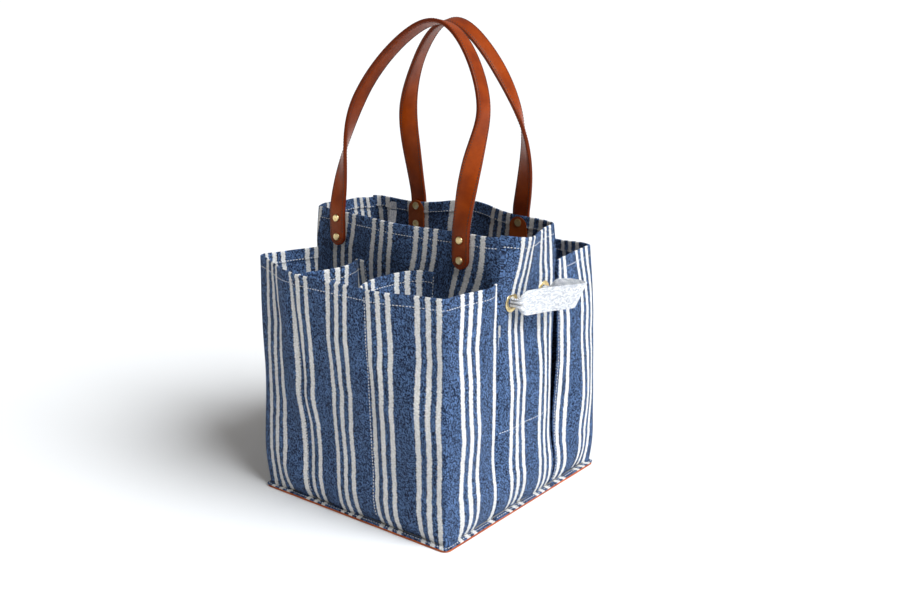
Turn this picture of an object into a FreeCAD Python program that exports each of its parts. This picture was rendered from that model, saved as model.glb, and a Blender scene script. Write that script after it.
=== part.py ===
"""Canvas tote bag: a tall main compartment between two divided outer pockets, on a leather base.

Millimetres. +Z is up, +X is the bag's right side, -Y is its front. The origin is the middle of the footprint,
on the surface that the base stands on.
"""
import FreeCAD, Part
import math
import os
import re
import Sketcher
from FreeCAD import Placement, Rotation, Vector

# alias, value, what it is
SIZES = (
    ("bag_width", 240, "width over the side walls, along X"),
    ("bag_depth", 262, "depth over the pocket corners, along Y"),
    ("main_depth", 100, "depth of the main compartment over its walls"),
    ("main_height", 292, "rim of the main compartment"),
    ("pocket_height", 250, "rim of the outer pockets"),
    ("canvas", 1.6, "thickness of the canvas"),
    ("pocket_bow", 16, "how far a pocket rim bows out past its corners"),
    ("foot_bow", 1, "the same at the base"),
    ("base_lip", 4.4, "leather base beyond the canvas walls"),
    ("foot_lip", 3.6, "canvas hem on the base beyond the walls"),
    ("base_thick", 2, "thickness of the leather base"),
    ("base_corner", 8, "corner radius of the leather base"),
    ("board_thick", 2, "thickness of the base stiffener"),
    ("floor_thick", 1.2, "thickness of the canvas floor"),
    ("divider_drop", 3, "top of a divider below the pocket rim"),
    ("divider_thick", 1.6, "thickness of a divider"),
    ("divider_flange", 14, "sewn flange of a divider on the main wall"),
    ("divider_1_outer_x", -64, "first divider, at the pocket panel"),
    ("divider_1_inner_x", -62, "first divider, at the main wall"),
    ("divider_2_outer_x", 31, "second divider, at the pocket panel"),
    ("divider_2_inner_x", 22, "second divider, at the main wall"),
    ("side_pocket_foot", 93, "seam at the foot of the interior side pocket"),
    ("side_pocket_high", 112, "height of the interior side pocket"),
    ("side_pocket_deep", 9, "how far the interior side pocket stands off the wall"),
    ("side_pocket_wide", 94, "width of the interior side pocket"),
    ("strap_width", 20, "width of a leather handle"),
    ("strap_thick", 4, "thickness of a leather handle, two layers"),
    ("tab_foot", 257, "lower end of a riveted handle end"),
    ("fold_rise", 2, "fold line of a handle above the main rim"),
    ("fold_gap", 3.2, "start of the free strap beyond its fold line"),
    ("strap_lean", 10.1, "lean of the handles towards each other, degrees"),
    ("front_left_x", -86, "front handle, left end"),
    ("front_right_x", 76, "front handle, right end"),
    ("rear_left_x", -61, "rear handle, left end"),
    ("rear_right_x", 75, "rear handle, right end"),
    ("front_twist", 0.25, "share of the front strap in each quarter turn"),
    ("rear_twist", 0.36, "share of the rear strap in each quarter turn"),
    ("patch_width", 21, "width of a leather backing patch"),
    ("patch_foot", 256, "lower end of a backing patch"),
    ("patch_thick", 2, "thickness of a backing patch"),
    ("rivet_low", 266, "lower rivet of a handle end"),
    ("rivet_high", 286, "upper rivet of a handle end"),
    ("rivet_cap_dia", 8, "diameter of a rivet cap"),
    ("rivet_cap_high", 1.6, "height of a rivet cap"),
    ("rivet_post_dia", 3.6, "diameter of a rivet post"),
    ("rivet_hole_dia", 4, "hole for a rivet post"),
    ("grommet_height", 226, "height of the side grommets"),
    ("grommet_spread", 28, "grommets from the middle of the side wall, along Y"),
    ("grommet_dia", 20, "outside diameter of a grommet"),
    ("grommet_bore", 11, "bore of a grommet"),
    ("grommet_barrel", 12.6, "outside diameter of a grommet's barrel"),
    ("grommet_flange", 1.2, "thickness of a grommet's flange and of its washer"),
    ("webbing_width", 25, "width of the cotton webbing"),
    ("webbing_thick", 1.8, "thickness of the cotton webbing"),
    ("webbing_pinch", 10, "webbing gathered through a grommet"),
    ("webbing_swing_x", 126.5, "line about which a webbing loop swings"),
    ("webbing_flare", 0.16, "share of the loop over which it opens flat"),
    ("anchor_wide", 20, "stopped webbing end inside, along Y"),
    ("anchor_high", 22, "stopped webbing end inside, along Z"),
    ("anchor_deep", 8, "stopped webbing end inside, along X"),
    ("leash_x", -95, "key leash, from the middle of the rear wall"),
    ("leash_width", 10, "width of the leash tape"),
    ("leash_thick", 1.2, "thickness of the leash tape"),
    ("leash_top", 286, "upper end of the sewn leash tab"),
    ("leash_tab", 8, "length of the sewn leash tab"),
    ("leash_long", 40, "free length of the leash tape"),
    ("leash_lean", 14, "lean of the hanging leash away from the wall, degrees"),
    ("eye_wide", 14, "width of the clasp eye"),
    ("eye_high", 7, "height of the clasp eye"),
    ("eye_bar", 1.8, "bars of the clasp eye"),
    ("clasp_thick", 2.4, "thickness of the clasp eye and gate"),
    ("boss_dia", 7, "swivel boss under the clasp eye"),
    ("boss_high", 4, "height of the swivel boss"),
    ("clasp_bore", 3.2, "bore of the swivel boss"),
    ("clasp_stem", 3, "stem of the clasp hook"),
    ("clasp_head", 5, "head of the stem, inside the eye"),
    ("clasp_play", 0.3, "play of the stem along its boss"),
    ("clasp_ring", 9, "outer radius of the clasp hook"),
    ("clasp_wire", 3, "section of the clasp hook"),
    ("gate_foot", 1, "foot of the hook's mouth below its middle"),
    ("gate_head", 6, "head of the hook's mouth above its middle"),
    ("gate_play", 0.4, "gap at the free end of the gate"),
)
# control points of the handle arches between their ends: along X, above the fold line
FRONT_ARCH = ((-85, 53), (-83, 115), (-12, 192), (44, 204), (103, 109), (77, 78))
REAR_ARCH = ((-62.5, 62), (-70, 105), (-7, 206), (41.5, 187), (88.5, 110), (91, 62.5))
# control points of a webbing loop seen from above: out from its swing line, and along Y
WEBBING_PLAN = ((6, -26), (9, -9), (20, 13), (31, 27), (40, 44), (25, 38), (13, 31), (6, 28))
STRAP_SECTIONS = 37
WEBBING_SECTIONS = 25

RIGHT = Vector(1, 0, 0)
BACK = Vector(0, 1, 0)
UP = Vector(0, 0, 1)
ALIASES = {alias for alias, _, _ in SIZES}

doc = FreeCAD.newDocument("CanvasToteBag")
sheet = doc.addObject("Spreadsheet::Sheet", "Sizes")
nodes = []


# the sheet and what is bound to it ----------------------------------------------------------------------------


def fill_sheet():
    """One row of the sheet for each driving size."""
    for row, (alias, value, meaning) in enumerate(SIZES, start=1):
        sheet.set(f"A{row}", meaning)
        sheet.set(f"B{row}", str(value))
        sheet.setAlias(f"B{row}", alias)
    doc.recompute()


def formula(text):
    """An expression of the document from one written in plain aliases."""
    return re.sub(r"[a-z]\w*", lambda word: f"Sizes.{word[0]}" if word[0] in ALIASES else word[0], text)


def value(text):
    """What such an expression comes to, in millimetres or degrees."""
    return float(sheet.evalExpression(formula(text)))


def bind(thing, place=None, **sizes):
    """Ties an object's sizes, and its place if given as three expressions, to the sheet."""
    for name, text in sizes.items():
        thing.setExpression(name, formula(text))
    for axis, text in zip("xyz", place or ()):
        thing.setExpression(f"Placement.Base.{axis}", formula(text))
    return thing


def turn(thing, axis, degrees):
    """Gives an object its rotation, and leaves its place alone."""
    thing.Placement = Placement(thing.Placement.Base, Rotation(axis, degrees))
    return thing


def node(thing, label):
    """Marks an object as a finished sub-part, whose label names its file."""
    thing.Label = label
    nodes.append(thing)
    return thing


# sketches: each dimension is a constraint bound to the sheet ---------------------------------------------------


def tie(sketch, kind, where, text):
    """A dimension constraint, bound to an expression."""
    number = sketch.addConstraint(Sketcher.Constraint(kind, *where, value(text)))
    sketch.setExpression(f"Constraints[{number}]", formula(text))


def pin(sketch, curve, point, across, up):
    """Holds a point of a curve at its two distances from the sketch's origin."""
    tie(sketch, "DistanceX", (-1, 1, curve, point), across)
    tie(sketch, "DistanceY", (-1, 1, curve, point), up)


def polygon(sketch, corners):
    """A closed outline of straight sides, from expressions for its corners."""
    places = [Vector(value(across), value(up), 0) for across, up in corners]
    first = sketch.GeometryCount
    for start, end in zip(places, places[1:] + places[:1]):
        sketch.addGeometry(Part.LineSegment(start, end), False)
    for side, (across, up) in enumerate(corners):
        following = first + (side + 1) % len(corners)
        sketch.addConstraint(Sketcher.Constraint("Coincident", first + side, 2, following, 1))
        pin(sketch, first + side, 1, across, up)


def rectangle(sketch, wide, high):
    """A rectangle from the sketch's origin."""
    polygon(sketch, (("0", "0"), (wide, "0"), (wide, high), ("0", high)))


def circle(sketch, across, up, radius):
    """A hole."""
    centre = Vector(value(across), value(up), 0)
    hole = sketch.addGeometry(Part.Circle(centre, UP, value(radius)), False)
    pin(sketch, hole, 3, across, up)
    tie(sketch, "Radius", (hole,), radius)


def half_round(sketch, up, radius, side):
    """A half circle over the sketch's vertical axis, below its centre where side is -1 and above where it is 1."""
    centre = Part.Circle(Vector(0, value(up), 0), UP, value(radius))
    start = 0 if side > 0 else math.pi
    arc = sketch.addGeometry(Part.ArcOfCircle(centre, start, start + math.pi), False)
    pin(sketch, arc, 3, "0", up)
    tie(sketch, "Radius", (arc,), radius)
    for end in (1, 2):
        tie(sketch, "DistanceY", (-1, 1, arc, end), up)
    return arc


def join(sketch, *ends):
    """Straight sides between ends of curves, each end given as a curve and its point."""
    for (curve_a, end_a), (curve_b, end_b) in zip(ends[::2], ends[1::2]):
        start, finish = sketch.getPoint(curve_a, end_a), sketch.getPoint(curve_b, end_b)
        side = sketch.addGeometry(Part.LineSegment(start, finish), False)
        sketch.addConstraint(Sketcher.Constraint("Coincident", curve_a, end_a, side, 1))
        sketch.addConstraint(Sketcher.Constraint("Coincident", side, 2, curve_b, end_b))


def bowed_outline(name, half_wide, near, corner, bow, height):
    """A level sketch: straight behind and at both sides, and bowed out in one arc across the front."""
    sketch = doc.addObject("Sketcher::SketchObject", name)
    bind(sketch, place=("0", "0", height))
    wide, back, front, out = value(half_wide), -value(near), -value(corner), value(bow)
    radius = f"(({half_wide}) ^ 2 + ({bow}) ^ 2) / (2 * ({bow}))"
    points = [Vector(wide, front, 0), Vector(wide, back, 0), Vector(-wide, back, 0), Vector(-wide, front, 0)]
    for start, end in zip(points, points[1:]):
        sketch.addGeometry(Part.LineSegment(start, end), False)
    arc = sketch.addGeometry(Part.Arc(points[3], Vector(0, front - out, 0), points[0]), False)
    first_end = 1 if sketch.getPoint(arc, 1).x < 0 else 2
    sketch.addConstraint(Sketcher.Constraint("Coincident", 0, 2, 1, 1))
    sketch.addConstraint(Sketcher.Constraint("Coincident", 1, 2, 2, 1))
    sketch.addConstraint(Sketcher.Constraint("Coincident", 2, 2, arc, first_end))
    sketch.addConstraint(Sketcher.Constraint("Coincident", arc, 3 - first_end, 0, 1))
    pin(sketch, 0, 1, half_wide, f"-({corner})")
    pin(sketch, 1, 1, half_wide, f"-({near})")
    pin(sketch, 2, 1, f"-({half_wide})", f"-({near})")
    pin(sketch, 2, 2, f"-({half_wide})", f"-({corner})")
    tie(sketch, "Radius", (arc,), radius)
    return sketch


# solids -------------------------------------------------------------------------------------------------------


def new_body(name, plane):
    """An empty body, and a sketch on one of its own planes."""
    body = doc.addObject("PartDesign::Body", name)
    sketch = body.newObject("Sketcher::SketchObject", name + "_outline")
    base = next(part for part in body.Origin.OriginFeatures if part.Role == plane)
    sketch.AttachmentSupport = (base, [""])
    sketch.MapMode = "FlatFace"
    return body, sketch


def pad(body, sketch, thick):
    """Thickens a sketch along its plane's normal: +Z, -Y or +X."""
    made = body.newObject("PartDesign::Pad", sketch.Name + "_pad")
    made.Profile = sketch
    sketch.Visibility = False
    return bind(made, Length=thick)


def plate(name, plane, size_across, size_up, thick, place, holes=()):
    """A flat panel from its lowest corner, with round holes."""
    body, sketch = new_body(name, plane)
    rectangle(sketch, size_across, size_up)
    for hole in holes:
        circle(sketch, *hole)
    pad(body, sketch, thick)
    return bind(body, place=place)


def turned(name, corners, place, axis, degrees, rounded=None):
    """A piece turned about its own axis, with its highest edge rounded where a radius is given."""
    body, sketch = new_body(name, "XZ_Plane")
    polygon(sketch, corners)
    spun = body.newObject("PartDesign::Revolution", name + "_turned")
    spun.Profile = sketch
    spun.ReferenceAxis = (sketch, ["V_Axis"])
    if rounded:
        doc.recompute()
        top = max(edge.BoundBox.ZMin for edge in spun.Shape.Edges if edge.Closed)
        rims = [
            f"Edge{number}"
            for number, edge in enumerate(spun.Shape.Edges, start=1)
            if edge.Closed and edge.BoundBox.ZMin > top - 1e-6
        ]
        fillet = body.newObject("PartDesign::Fillet", name + "_rounded")
        fillet.Base = (spun, rims)
        bind(fillet, Radius=rounded)
    turn(body, axis, degrees)
    return bind(body, place=place)


def block(name, sizes, place):
    """A plain block from its lowest corner."""
    box = doc.addObject("Part::Box", name)
    return bind(box, place=place, Length=sizes[0], Width=sizes[1], Height=sizes[2])


def rod(name, radius, length, place, axis=RIGHT, degrees=0):
    """A round rod, turned from upright."""
    made = doc.addObject("Part::Cylinder", name)
    turn(made, axis, degrees)
    return bind(made, place=place, Radius=radius, Height=length)


def cut(name, base, tool):
    made = doc.addObject("Part::Cut", name)
    made.Base, made.Tool = base, tool
    return made


def fuse(name, *shapes):
    made = doc.addObject("Part::MultiFuse", name)
    made.Shapes = list(shapes)
    return made


def group(label, parts):
    """Separate solids that share one node."""
    made = doc.addObject("Part::Compound", label)
    made.Links = parts
    return node(made, label)


def ribbon(label, centre, across, thickness):
    """A strap: a solid over cross-sections given by centre points and half-width vectors along its length."""
    sections = []
    for number, (middle, half) in enumerate(zip(centre, across)):
        before, after = centre[max(number - 1, 0)], centre[min(number + 1, len(centre) - 1)]
        out = half.cross(after - before).normalize() * thickness / 2
        corners = [middle + half + out, middle - half + out, middle - half - out, middle + half - out]
        sections.append(Part.makePolygon(corners + corners[:1]))
    made = doc.addObject("Part::Feature", label)
    made.Shape = Part.makeLoft(sections, True, True)
    return node(made, label)


def along(poles, count):
    """Points at even steps on the smooth curve that control points draw."""
    curve = Part.BSplineCurve()
    curve.buildFromPoles(poles)
    return curve.toShape().discretize(Number=count)


def ease(share):
    """0 to 1, slow at both ends."""
    share = min(max(share, 0), 1)
    return share * share * (3 - 2 * share)


# base ---------------------------------------------------------------------------------------------------------

FLOOR_TOP = "base_thick + board_thick + floor_thick"
WALL_X = "bag_width / 2 - canvas"
WALL_Y = "main_depth / 2"


def make_base():
    """The leather base with its round corners, and the board and canvas floor that lie on it inside the walls."""
    wide, deep = "bag_width + 2 * base_lip", "bag_depth + 2 * base_lip"
    corner = ("-(bag_width / 2 + base_lip)", "-(bag_depth / 2 + base_lip)")
    body = plate("LeatherBase", "XY_Plane", wide, deep, "base_thick", (*corner, "0"))
    doc.recompute()
    sharp = body.Tip
    upright = [
        f"Edge{number}"
        for number, edge in enumerate(sharp.Shape.Edges, start=1)
        if edge.BoundBox.ZLength > value("base_thick") / 2
    ]
    fillet = body.newObject("PartDesign::Fillet", "BaseCorners")
    fillet.Base = (sharp, upright)
    bind(fillet, Radius="base_corner")
    node(body, "leather_base")
    inside = ("bag_width - 2 * canvas", "bag_depth - 2 * canvas")
    corner = ("canvas - bag_width / 2", "canvas - bag_depth / 2")
    board = plate("Board", "XY_Plane", *inside, "board_thick", (*corner, "base_thick"))
    node(board, "base_stiffener")
    floor = plate("Floor", "XY_Plane", *inside, "floor_thick", (*corner, "base_thick + board_thick"))
    node(floor, "canvas_floor")


# main compartment ---------------------------------------------------------------------------------------------


def make_cross_wall(end):
    """The front or rear wall of the main compartment, with its four rivet holes."""
    back_face = f"canvas - {WALL_Y}" if end == "front" else WALL_Y
    holes = [
        (f"{end}_{side}_x + {WALL_X}", f"{height} - ({FLOOR_TOP})", "rivet_hole_dia / 2")
        for side in ("left", "right")
        for height in ("rivet_low", "rivet_high")
    ]
    place = (f"-({WALL_X})", back_face, FLOOR_TOP)
    high = f"main_height - ({FLOOR_TOP})"
    wall = plate(f"{end}Wall", "XZ_Plane", f"2 * ({WALL_X})", high, "canvas", place, holes)
    node(wall, f"main_{end}_wall")


def make_side_wall(side):
    """A side wall of the main compartment, with two grommet holes and its hem turned out over the base."""
    sign = 1 if side == "right" else -1
    inner_face = WALL_X if sign > 0 else "-bag_width / 2"
    holes = [
        (f"{WALL_Y} + {way} * grommet_spread", "grommet_height - base_thick", "grommet_barrel / 2")
        for way in (-1, 1)
    ]
    place = (inner_face, f"-{WALL_Y}", "base_thick")
    high = "main_height - base_thick"
    wall = plate(f"{side}Wall", "YZ_Plane", "main_depth", high, "canvas", place, holes)
    foot_x = inner_face if sign > 0 else "-(bag_width / 2 + foot_lip)"
    foot = block(f"{side}Foot", ("foot_lip + canvas", "main_depth", "floor_thick"), (foot_x, *place[1:]))
    node(fuse(f"{side}WallWithFoot", wall, foot), f"main_{side}_wall")


def make_side_pocket():
    """A patch pocket inside the right wall: closed at the front, foot and sides, open above."""
    deep, wide, high = "side_pocket_deep", "side_pocket_wide", "side_pocket_high"
    place = (f"{WALL_X} - {deep}", f"-{wide} / 2", "side_pocket_foot")
    outside = block("SidePocketOutside", (deep, wide, high), place)
    inner_place = (
        f"{WALL_X} - {deep} + floor_thick",
        f"floor_thick - {wide} / 2",
        "side_pocket_foot + floor_thick",
    )
    inside = block("SidePocketInside", (deep, f"{wide} - 2 * floor_thick", high), inner_place)
    node(cut("SidePocket", outside, inside), "interior_side_pocket")


# outer pockets ------------------------------------------------------------------------------------------------


def make_pocket(end, degrees):
    """An outer pocket: its panel round three sides, hemmed out over the base, and the two webs that divide it."""
    outer = (
        bowed_outline(f"{end}_foot_outer", "bag_width / 2", WALL_Y, "bag_depth / 2", "foot_bow", "base_thick"),
        bowed_outline(f"{end}_rim_outer", "bag_width / 2", WALL_Y, "bag_depth / 2", "pocket_bow", "pocket_height"),
    )
    inner_corner = "bag_depth / 2 - canvas"
    inner = (
        bowed_outline(f"{end}_foot_inner", WALL_X, f"{WALL_Y} - 5", inner_corner, "foot_bow", "base_thick"),
        bowed_outline(f"{end}_rim_inner", WALL_X, f"{WALL_Y} - 5", inner_corner, "pocket_bow", "pocket_height"),
    )
    lofts = []
    for name, outlines in (("outside", outer), ("inside", inner)):
        loft = doc.addObject("Part::Loft", f"{end}_pocket_{name}")
        loft.Sections = list(outlines)
        loft.Solid = True
        loft.Ruled = True
        lofts.append(loft)
    outside, inside = lofts
    place = ("-(bag_width / 2 + foot_lip)", "-(bag_depth / 2 + foot_lip)", "base_thick")
    foot_sizes = ("bag_width + 2 * foot_lip", f"bag_depth / 2 + foot_lip - {WALL_Y}", "floor_thick")
    hemmed = fuse(f"{end}_hemmed", outside, block(f"{end}_foot", foot_sizes, place))
    panel = cut(f"{end}_panel", hemmed, inside)
    node(turn(panel, UP, degrees), f"{end}_pocket_panel")
    for number in (1, 2):
        web = make_divider(f"{end}_web_{number}", number, inside)
        node(turn(web, UP, degrees), f"{end}_pocket_divider_{number}")


def make_divider(name, number, pocket_space):
    """A web across a pocket, a little askew, with a flange sewn to the main wall, trimmed to the pocket."""
    near, far = f"-{WALL_Y}", "-(bag_depth / 2 + pocket_bow)"
    inner_x, outer_x = f"divider_{number}_inner_x", f"divider_{number}_outer_x"
    sketch = doc.addObject("Sketcher::SketchObject", name + "_outline")
    bind(sketch, place=("0", "0", FLOOR_TOP))
    polygon(sketch, (
        (inner_x, near),
        (outer_x, far),
        (f"{outer_x} + divider_thick", far),
        (f"{inner_x} + divider_thick", f"{near} - divider_thick"),
        (f"{inner_x} + divider_flange", f"{near} - divider_thick"),
        (f"{inner_x} + divider_flange", near),
    ))
    upright = doc.addObject("Part::Extrusion", name + "_upright")
    upright.Base = sketch
    upright.DirMode = "Normal"
    upright.Solid = True
    bind(upright, LengthFwd=f"pocket_height - divider_drop - ({FLOOR_TOP})")
    web = doc.addObject("Part::Common", name)
    web.Base, web.Tool = upright, pocket_space
    return web


# leather handles ----------------------------------------------------------------------------------------------


def make_handle_ends(end):
    """Both riveted ends of one handle: outside the wall, round below and flat just under the fold."""
    sign = -1 if end == "front" else 1
    face = f"-{WALL_Y}" if sign < 0 else f"{WALL_Y} + strap_thick"
    ends = []
    for side in ("left", "right"):
        body, sketch = new_body(f"{end}_{side}_end", "XZ_Plane")
        foot = half_round(sketch, "tab_foot + strap_width / 2", "strap_width / 2", -1)
        low_left, low_right = sketch.getPoint(foot, 1), sketch.getPoint(foot, 2)
        top = value("main_height")
        left = sketch.addGeometry(Part.LineSegment(low_left, Vector(low_left.x, top, 0)), False)
        right = sketch.addGeometry(Part.LineSegment(low_right, Vector(low_right.x, top, 0)), False)
        sketch.addConstraint(Sketcher.Constraint("Coincident", foot, 1, left, 1))
        sketch.addConstraint(Sketcher.Constraint("Coincident", foot, 2, right, 1))
        for upright in (left, right):
            sketch.addConstraint(Sketcher.Constraint("Vertical", upright))
            tie(sketch, "DistanceY", (-1, 1, upright, 2), "main_height")
        join(sketch, (left, 2), (right, 2))
        for height in ("rivet_low", "rivet_high"):
            circle(sketch, "0", height, "rivet_hole_dia / 2")
        pad(body, sketch, "strap_thick")
        ends.append(bind(body, place=(f"{end}_{side}_x", face, "0")))
    group(f"{end}_handle_ends", ends)


def make_patches(end):
    """The pill-shaped leather backing inside the wall behind each end of a handle."""
    face = f"canvas + patch_thick - {WALL_Y}" if end == "front" else f"{WALL_Y} - canvas"
    patches = []
    for side in ("left", "right"):
        body, sketch = new_body(f"{end}_{side}_patch", "XZ_Plane")
        radius = "patch_width / 2"
        foot = half_round(sketch, f"patch_foot + {radius}", radius, -1)
        top = half_round(sketch, f"main_height - {radius}", radius, 1)
        join(sketch, (foot, 2), (top, 1), (top, 2), (foot, 1))
        for height in ("rivet_low", "rivet_high"):
            circle(sketch, "0", height, "rivet_hole_dia / 2")
        pad(body, sketch, "patch_thick")
        patches.append(bind(body, place=(f"{end}_{side}_x", face, "0")))
    group(f"{end}_handle_patches", patches)


def make_rivets():
    """Double-cap rivets: a post with its own flat cap inside, and a domed cap pressed on outside."""
    stack = "strap_thick + canvas + patch_thick"
    cap_radius, post_radius = "rivet_cap_dia / 2", "rivet_post_dia / 2"
    cap = (("0", "0"), (cap_radius, "0"), (cap_radius, "rivet_cap_high"), ("0", "rivet_cap_high"))
    inner_cap = f"-({stack} + rivet_cap_high / 2)"
    post = (
        ("0", inner_cap),
        (cap_radius, inner_cap),
        (cap_radius, f"-({stack})"),
        (post_radius, f"-({stack})"),
        (post_radius, "0"),
        ("0", "0"),
    )
    caps, posts = [], []
    for end, sign in (("front", -1), ("rear", 1)):
        for side in ("left", "right"):
            for height in ("rivet_low", "rivet_high"):
                name = f"{end}_{side}_{height}"
                place = (f"{end}_{side}_x", f"{sign} * ({WALL_Y} + strap_thick)", height)
                caps.append(turned(name + "_cap", cap, place, RIGHT, -90 * sign, "rivet_cap_high * 0.7"))
                posts.append(turned(name + "_post", post, place, RIGHT, -90 * sign))
    group("rivet_caps", caps)
    group("rivet_posts", posts)


def make_strap(end, arch):
    """The free arch of a handle, from one fold to the other. Its face looks outward at the ends, and it turns a
    quarter on its way up, so that it lies flat at the top."""
    sign = -1 if end == "front" else 1
    lean = math.radians(value("strap_lean"))
    up = Vector(0, -sign * math.sin(lean), math.cos(lean))
    out = Vector(0, sign * math.cos(lean), math.sin(lean))
    fold_y = sign * (value("main_depth") + value("strap_thick")) / 2
    fold = Vector(0, fold_y, value("main_height") + value("fold_rise"))
    start = value("fold_gap") * math.cos(lean)
    ends = (value(f"{end}_left_x"), start), (value(f"{end}_right_x"), start)
    places = (ends[0], *arch, ends[1])
    centre = along([fold + RIGHT * x + up * (rise / math.cos(lean)) for x, rise in places], STRAP_SECTIONS)
    across = []
    last = len(centre) - 1
    for number in range(len(centre)):
        way = (centre[min(number + 1, last)] - centre[max(number - 1, 0)]).normalize()
        if number in (0, last):
            way = up * (1 if number == 0 else -1)
        inward = RIGHT * way.dot(up) - up * way.x
        quarter = ease(min(number, last - number) / last / value(f"{end}_twist")) * math.pi / 2
        half = inward * math.cos(quarter) + out * math.sin(quarter)
        across.append(half * value("strap_width") / 2)
    ribbon(f"{end}_handle_strap", centre, across, value("strap_thick"))


# webbing side handles -----------------------------------------------------------------------------------------


def make_grommets():
    """Brass grommets with a barrel through the canvas, and a washer inside each."""
    bore, rim, barrel = "grommet_bore / 2", "grommet_dia / 2", "grommet_barrel / 2"
    inner_end = "-(canvas + grommet_flange)"
    eyelet = (
        (bore, inner_end),
        (barrel, inner_end),
        (barrel, "0"),
        (rim, "0"),
        (rim, "grommet_flange"),
        (bore, "grommet_flange"),
    )
    washer = ((barrel, inner_end), (rim, inner_end), (rim, "-canvas"), (barrel, "-canvas"))
    eyelets, washers = [], []
    for side, sign in (("right", 1), ("left", -1)):
        for way in (-1, 1):
            name = f"{side}_{'front' if way < 0 else 'rear'}"
            place = (f"{sign} * bag_width / 2", f"{way} * grommet_spread", "grommet_height")
            eyelets.append(turned(name + "_eyelet", eyelet, place, BACK, 90 * sign, "grommet_flange * 0.8"))
            washers.append(turned(name + "_washer", washer, place, BACK, 90 * sign))
    group("grommets", eyelets)
    group("grommet_washers", washers)


def make_anchors(side, sign):
    """The ends of one webbing handle: stopped inside the wall, gathered through the grommet, and domed round the
    swing line outside it."""
    inner_face = f"({WALL_X} - grommet_flange)"
    neck_radius = "webbing_pinch / 2"
    neck_long = f"webbing_swing_x - {inner_face} + {neck_radius}"
    neck_outline = (("0", "0"), (neck_radius, "0"), (neck_radius, neck_long), ("0", neck_long))
    anchors = []
    for way in (-1, 1):
        name = f"{side}_{'front' if way < 0 else 'rear'}"
        middle = f"{way} * grommet_spread"
        low_x = f"{inner_face} - anchor_deep" if sign > 0 else f"-{inner_face}"
        stop = block(
            name + "_stop",
            ("anchor_deep", "anchor_wide", "anchor_high"),
            (low_x, f"{middle} - anchor_wide / 2", "grommet_height - anchor_high / 2"),
        )
        neck_place = (f"{sign} * {inner_face}", middle, "grommet_height")
        neck = turned(name + "_neck", neck_outline, neck_place, BACK, 90 * sign, "webbing_pinch * 0.45")
        anchors.append(fuse(name + "_anchor", stop, neck))
    group(f"{side}_webbing_anchors", anchors)


def make_webbing_loop(side, sign):
    """The free webbing of a side handle: gathered at each grommet, and open flat between them."""
    swing_x, height = value("webbing_swing_x"), value("grommet_height")
    poles = [Vector(sign * (swing_x + out), back, height) for out, back in WEBBING_PLAN]
    centre = along(poles, WEBBING_SECTIONS)
    last = len(centre) - 1
    across = []
    for number in range(len(centre)):
        open_share = ease(min(number, last - number) / last / value("webbing_flare"))
        pinch, full = value("webbing_pinch"), value("webbing_width")
        across.append(UP * (pinch + (full - pinch) * open_share) / 2)
    ribbon(f"{side}_webbing_loop", centre, across, value("webbing_thick"))


# key leash ----------------------------------------------------------------------------------------------------


def make_leash():
    """A tape sewn inside the rear rim with a swivel clasp, which hangs a little away from the wall. Its pieces are
    made straight below the tape's swing line, and then leaned."""
    wall = f"({WALL_Y} - canvas)"
    tab_place = ("leash_x - leash_width / 2", f"{wall} - leash_thick", "leash_top - leash_tab")
    node(block("LeashTab", ("leash_width", "leash_thick", "leash_tab"), tab_place), "key_leash_tab")
    swing = (
        "leash_x",
        f"{wall} - leash_thick / 2",
        "leash_top - leash_tab - leash_thick",
    )

    def hang(label, part):
        bind(turn(group(label, [part]), RIGHT, -value("leash_lean")), place=swing)

    def centred(name, wide, thick, high, foot):
        return block(name, (wide, thick, high), (f"-({wide}) / 2", f"-({thick}) / 2", foot))

    def upright(name, diameter, high, foot):
        return rod(name, f"{diameter} / 2", high, ("0", "0", foot))

    eye_top = "-(leash_thick + leash_long)"
    eye_foot = f"{eye_top} - eye_high"
    slot_foot = f"{eye_foot} + eye_bar"
    boss_foot = f"{eye_foot} - boss_high"
    hang("key_leash_tape", centred("Tape", "leash_width", "leash_thick", "leash_long", eye_top))

    frame = centred("EyeFrame", "eye_wide", "clasp_thick", "eye_high", eye_foot)
    boss = upright("EyeBoss", "boss_dia", "boss_high", boss_foot)
    slot = centred("EyeSlot", "eye_wide - 2 * eye_bar", "2 * clasp_thick", "eye_high - 2 * eye_bar", slot_foot)
    bore = upright("EyeBore", "clasp_bore", "boss_high + eye_high / 2", boss_foot)
    hang("clasp_eye", cut("Eye", fuse("EyeSolid", frame, boss), fuse("EyeSpace", slot, bore)))

    collar_foot = f"{boss_foot} - clasp_play - clasp_wire / 2"
    middle = f"{collar_foot} - clasp_ring + clasp_wire / 4"
    head = upright("StemHead", "clasp_head", "eye_bar / 2", f"{slot_foot} + clasp_play / 2")
    stem = upright("Stem", "clasp_stem", f"{slot_foot} - ({collar_foot}) + clasp_play", collar_foot)
    collar = upright("Collar", "boss_dia", "clasp_wire / 2", collar_foot)
    edge = ("0", "clasp_wire / 2", middle)
    ring = cut(
        "Ring",
        rod("RingOutside", "clasp_ring", "clasp_wire", edge, RIGHT, 90),
        rod("RingInside", "clasp_ring - clasp_wire", "clasp_wire", edge, RIGHT, 90),
    )
    mouth = block(
        "Mouth",
        ("clasp_ring", "clasp_wire", "gate_foot + gate_head"),
        ("clasp_wire", "-clasp_wire / 2", f"{middle} - gate_foot"),
    )
    hang("clasp_hook", fuse("Hook", head, stem, collar, cut("OpenRing", ring, mouth)))

    gate_x = "clasp_ring - (clasp_wire + clasp_thick) / 2"
    gate = block(
        "Gate",
        ("clasp_thick", "clasp_thick", "gate_foot + gate_head - 2.75 * gate_play"),
        (gate_x, "-clasp_thick / 2", f"{middle} - gate_foot + 1.75 * gate_play"),
    )
    hang("clasp_gate", gate)


# the bag ------------------------------------------------------------------------------------------------------


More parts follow.
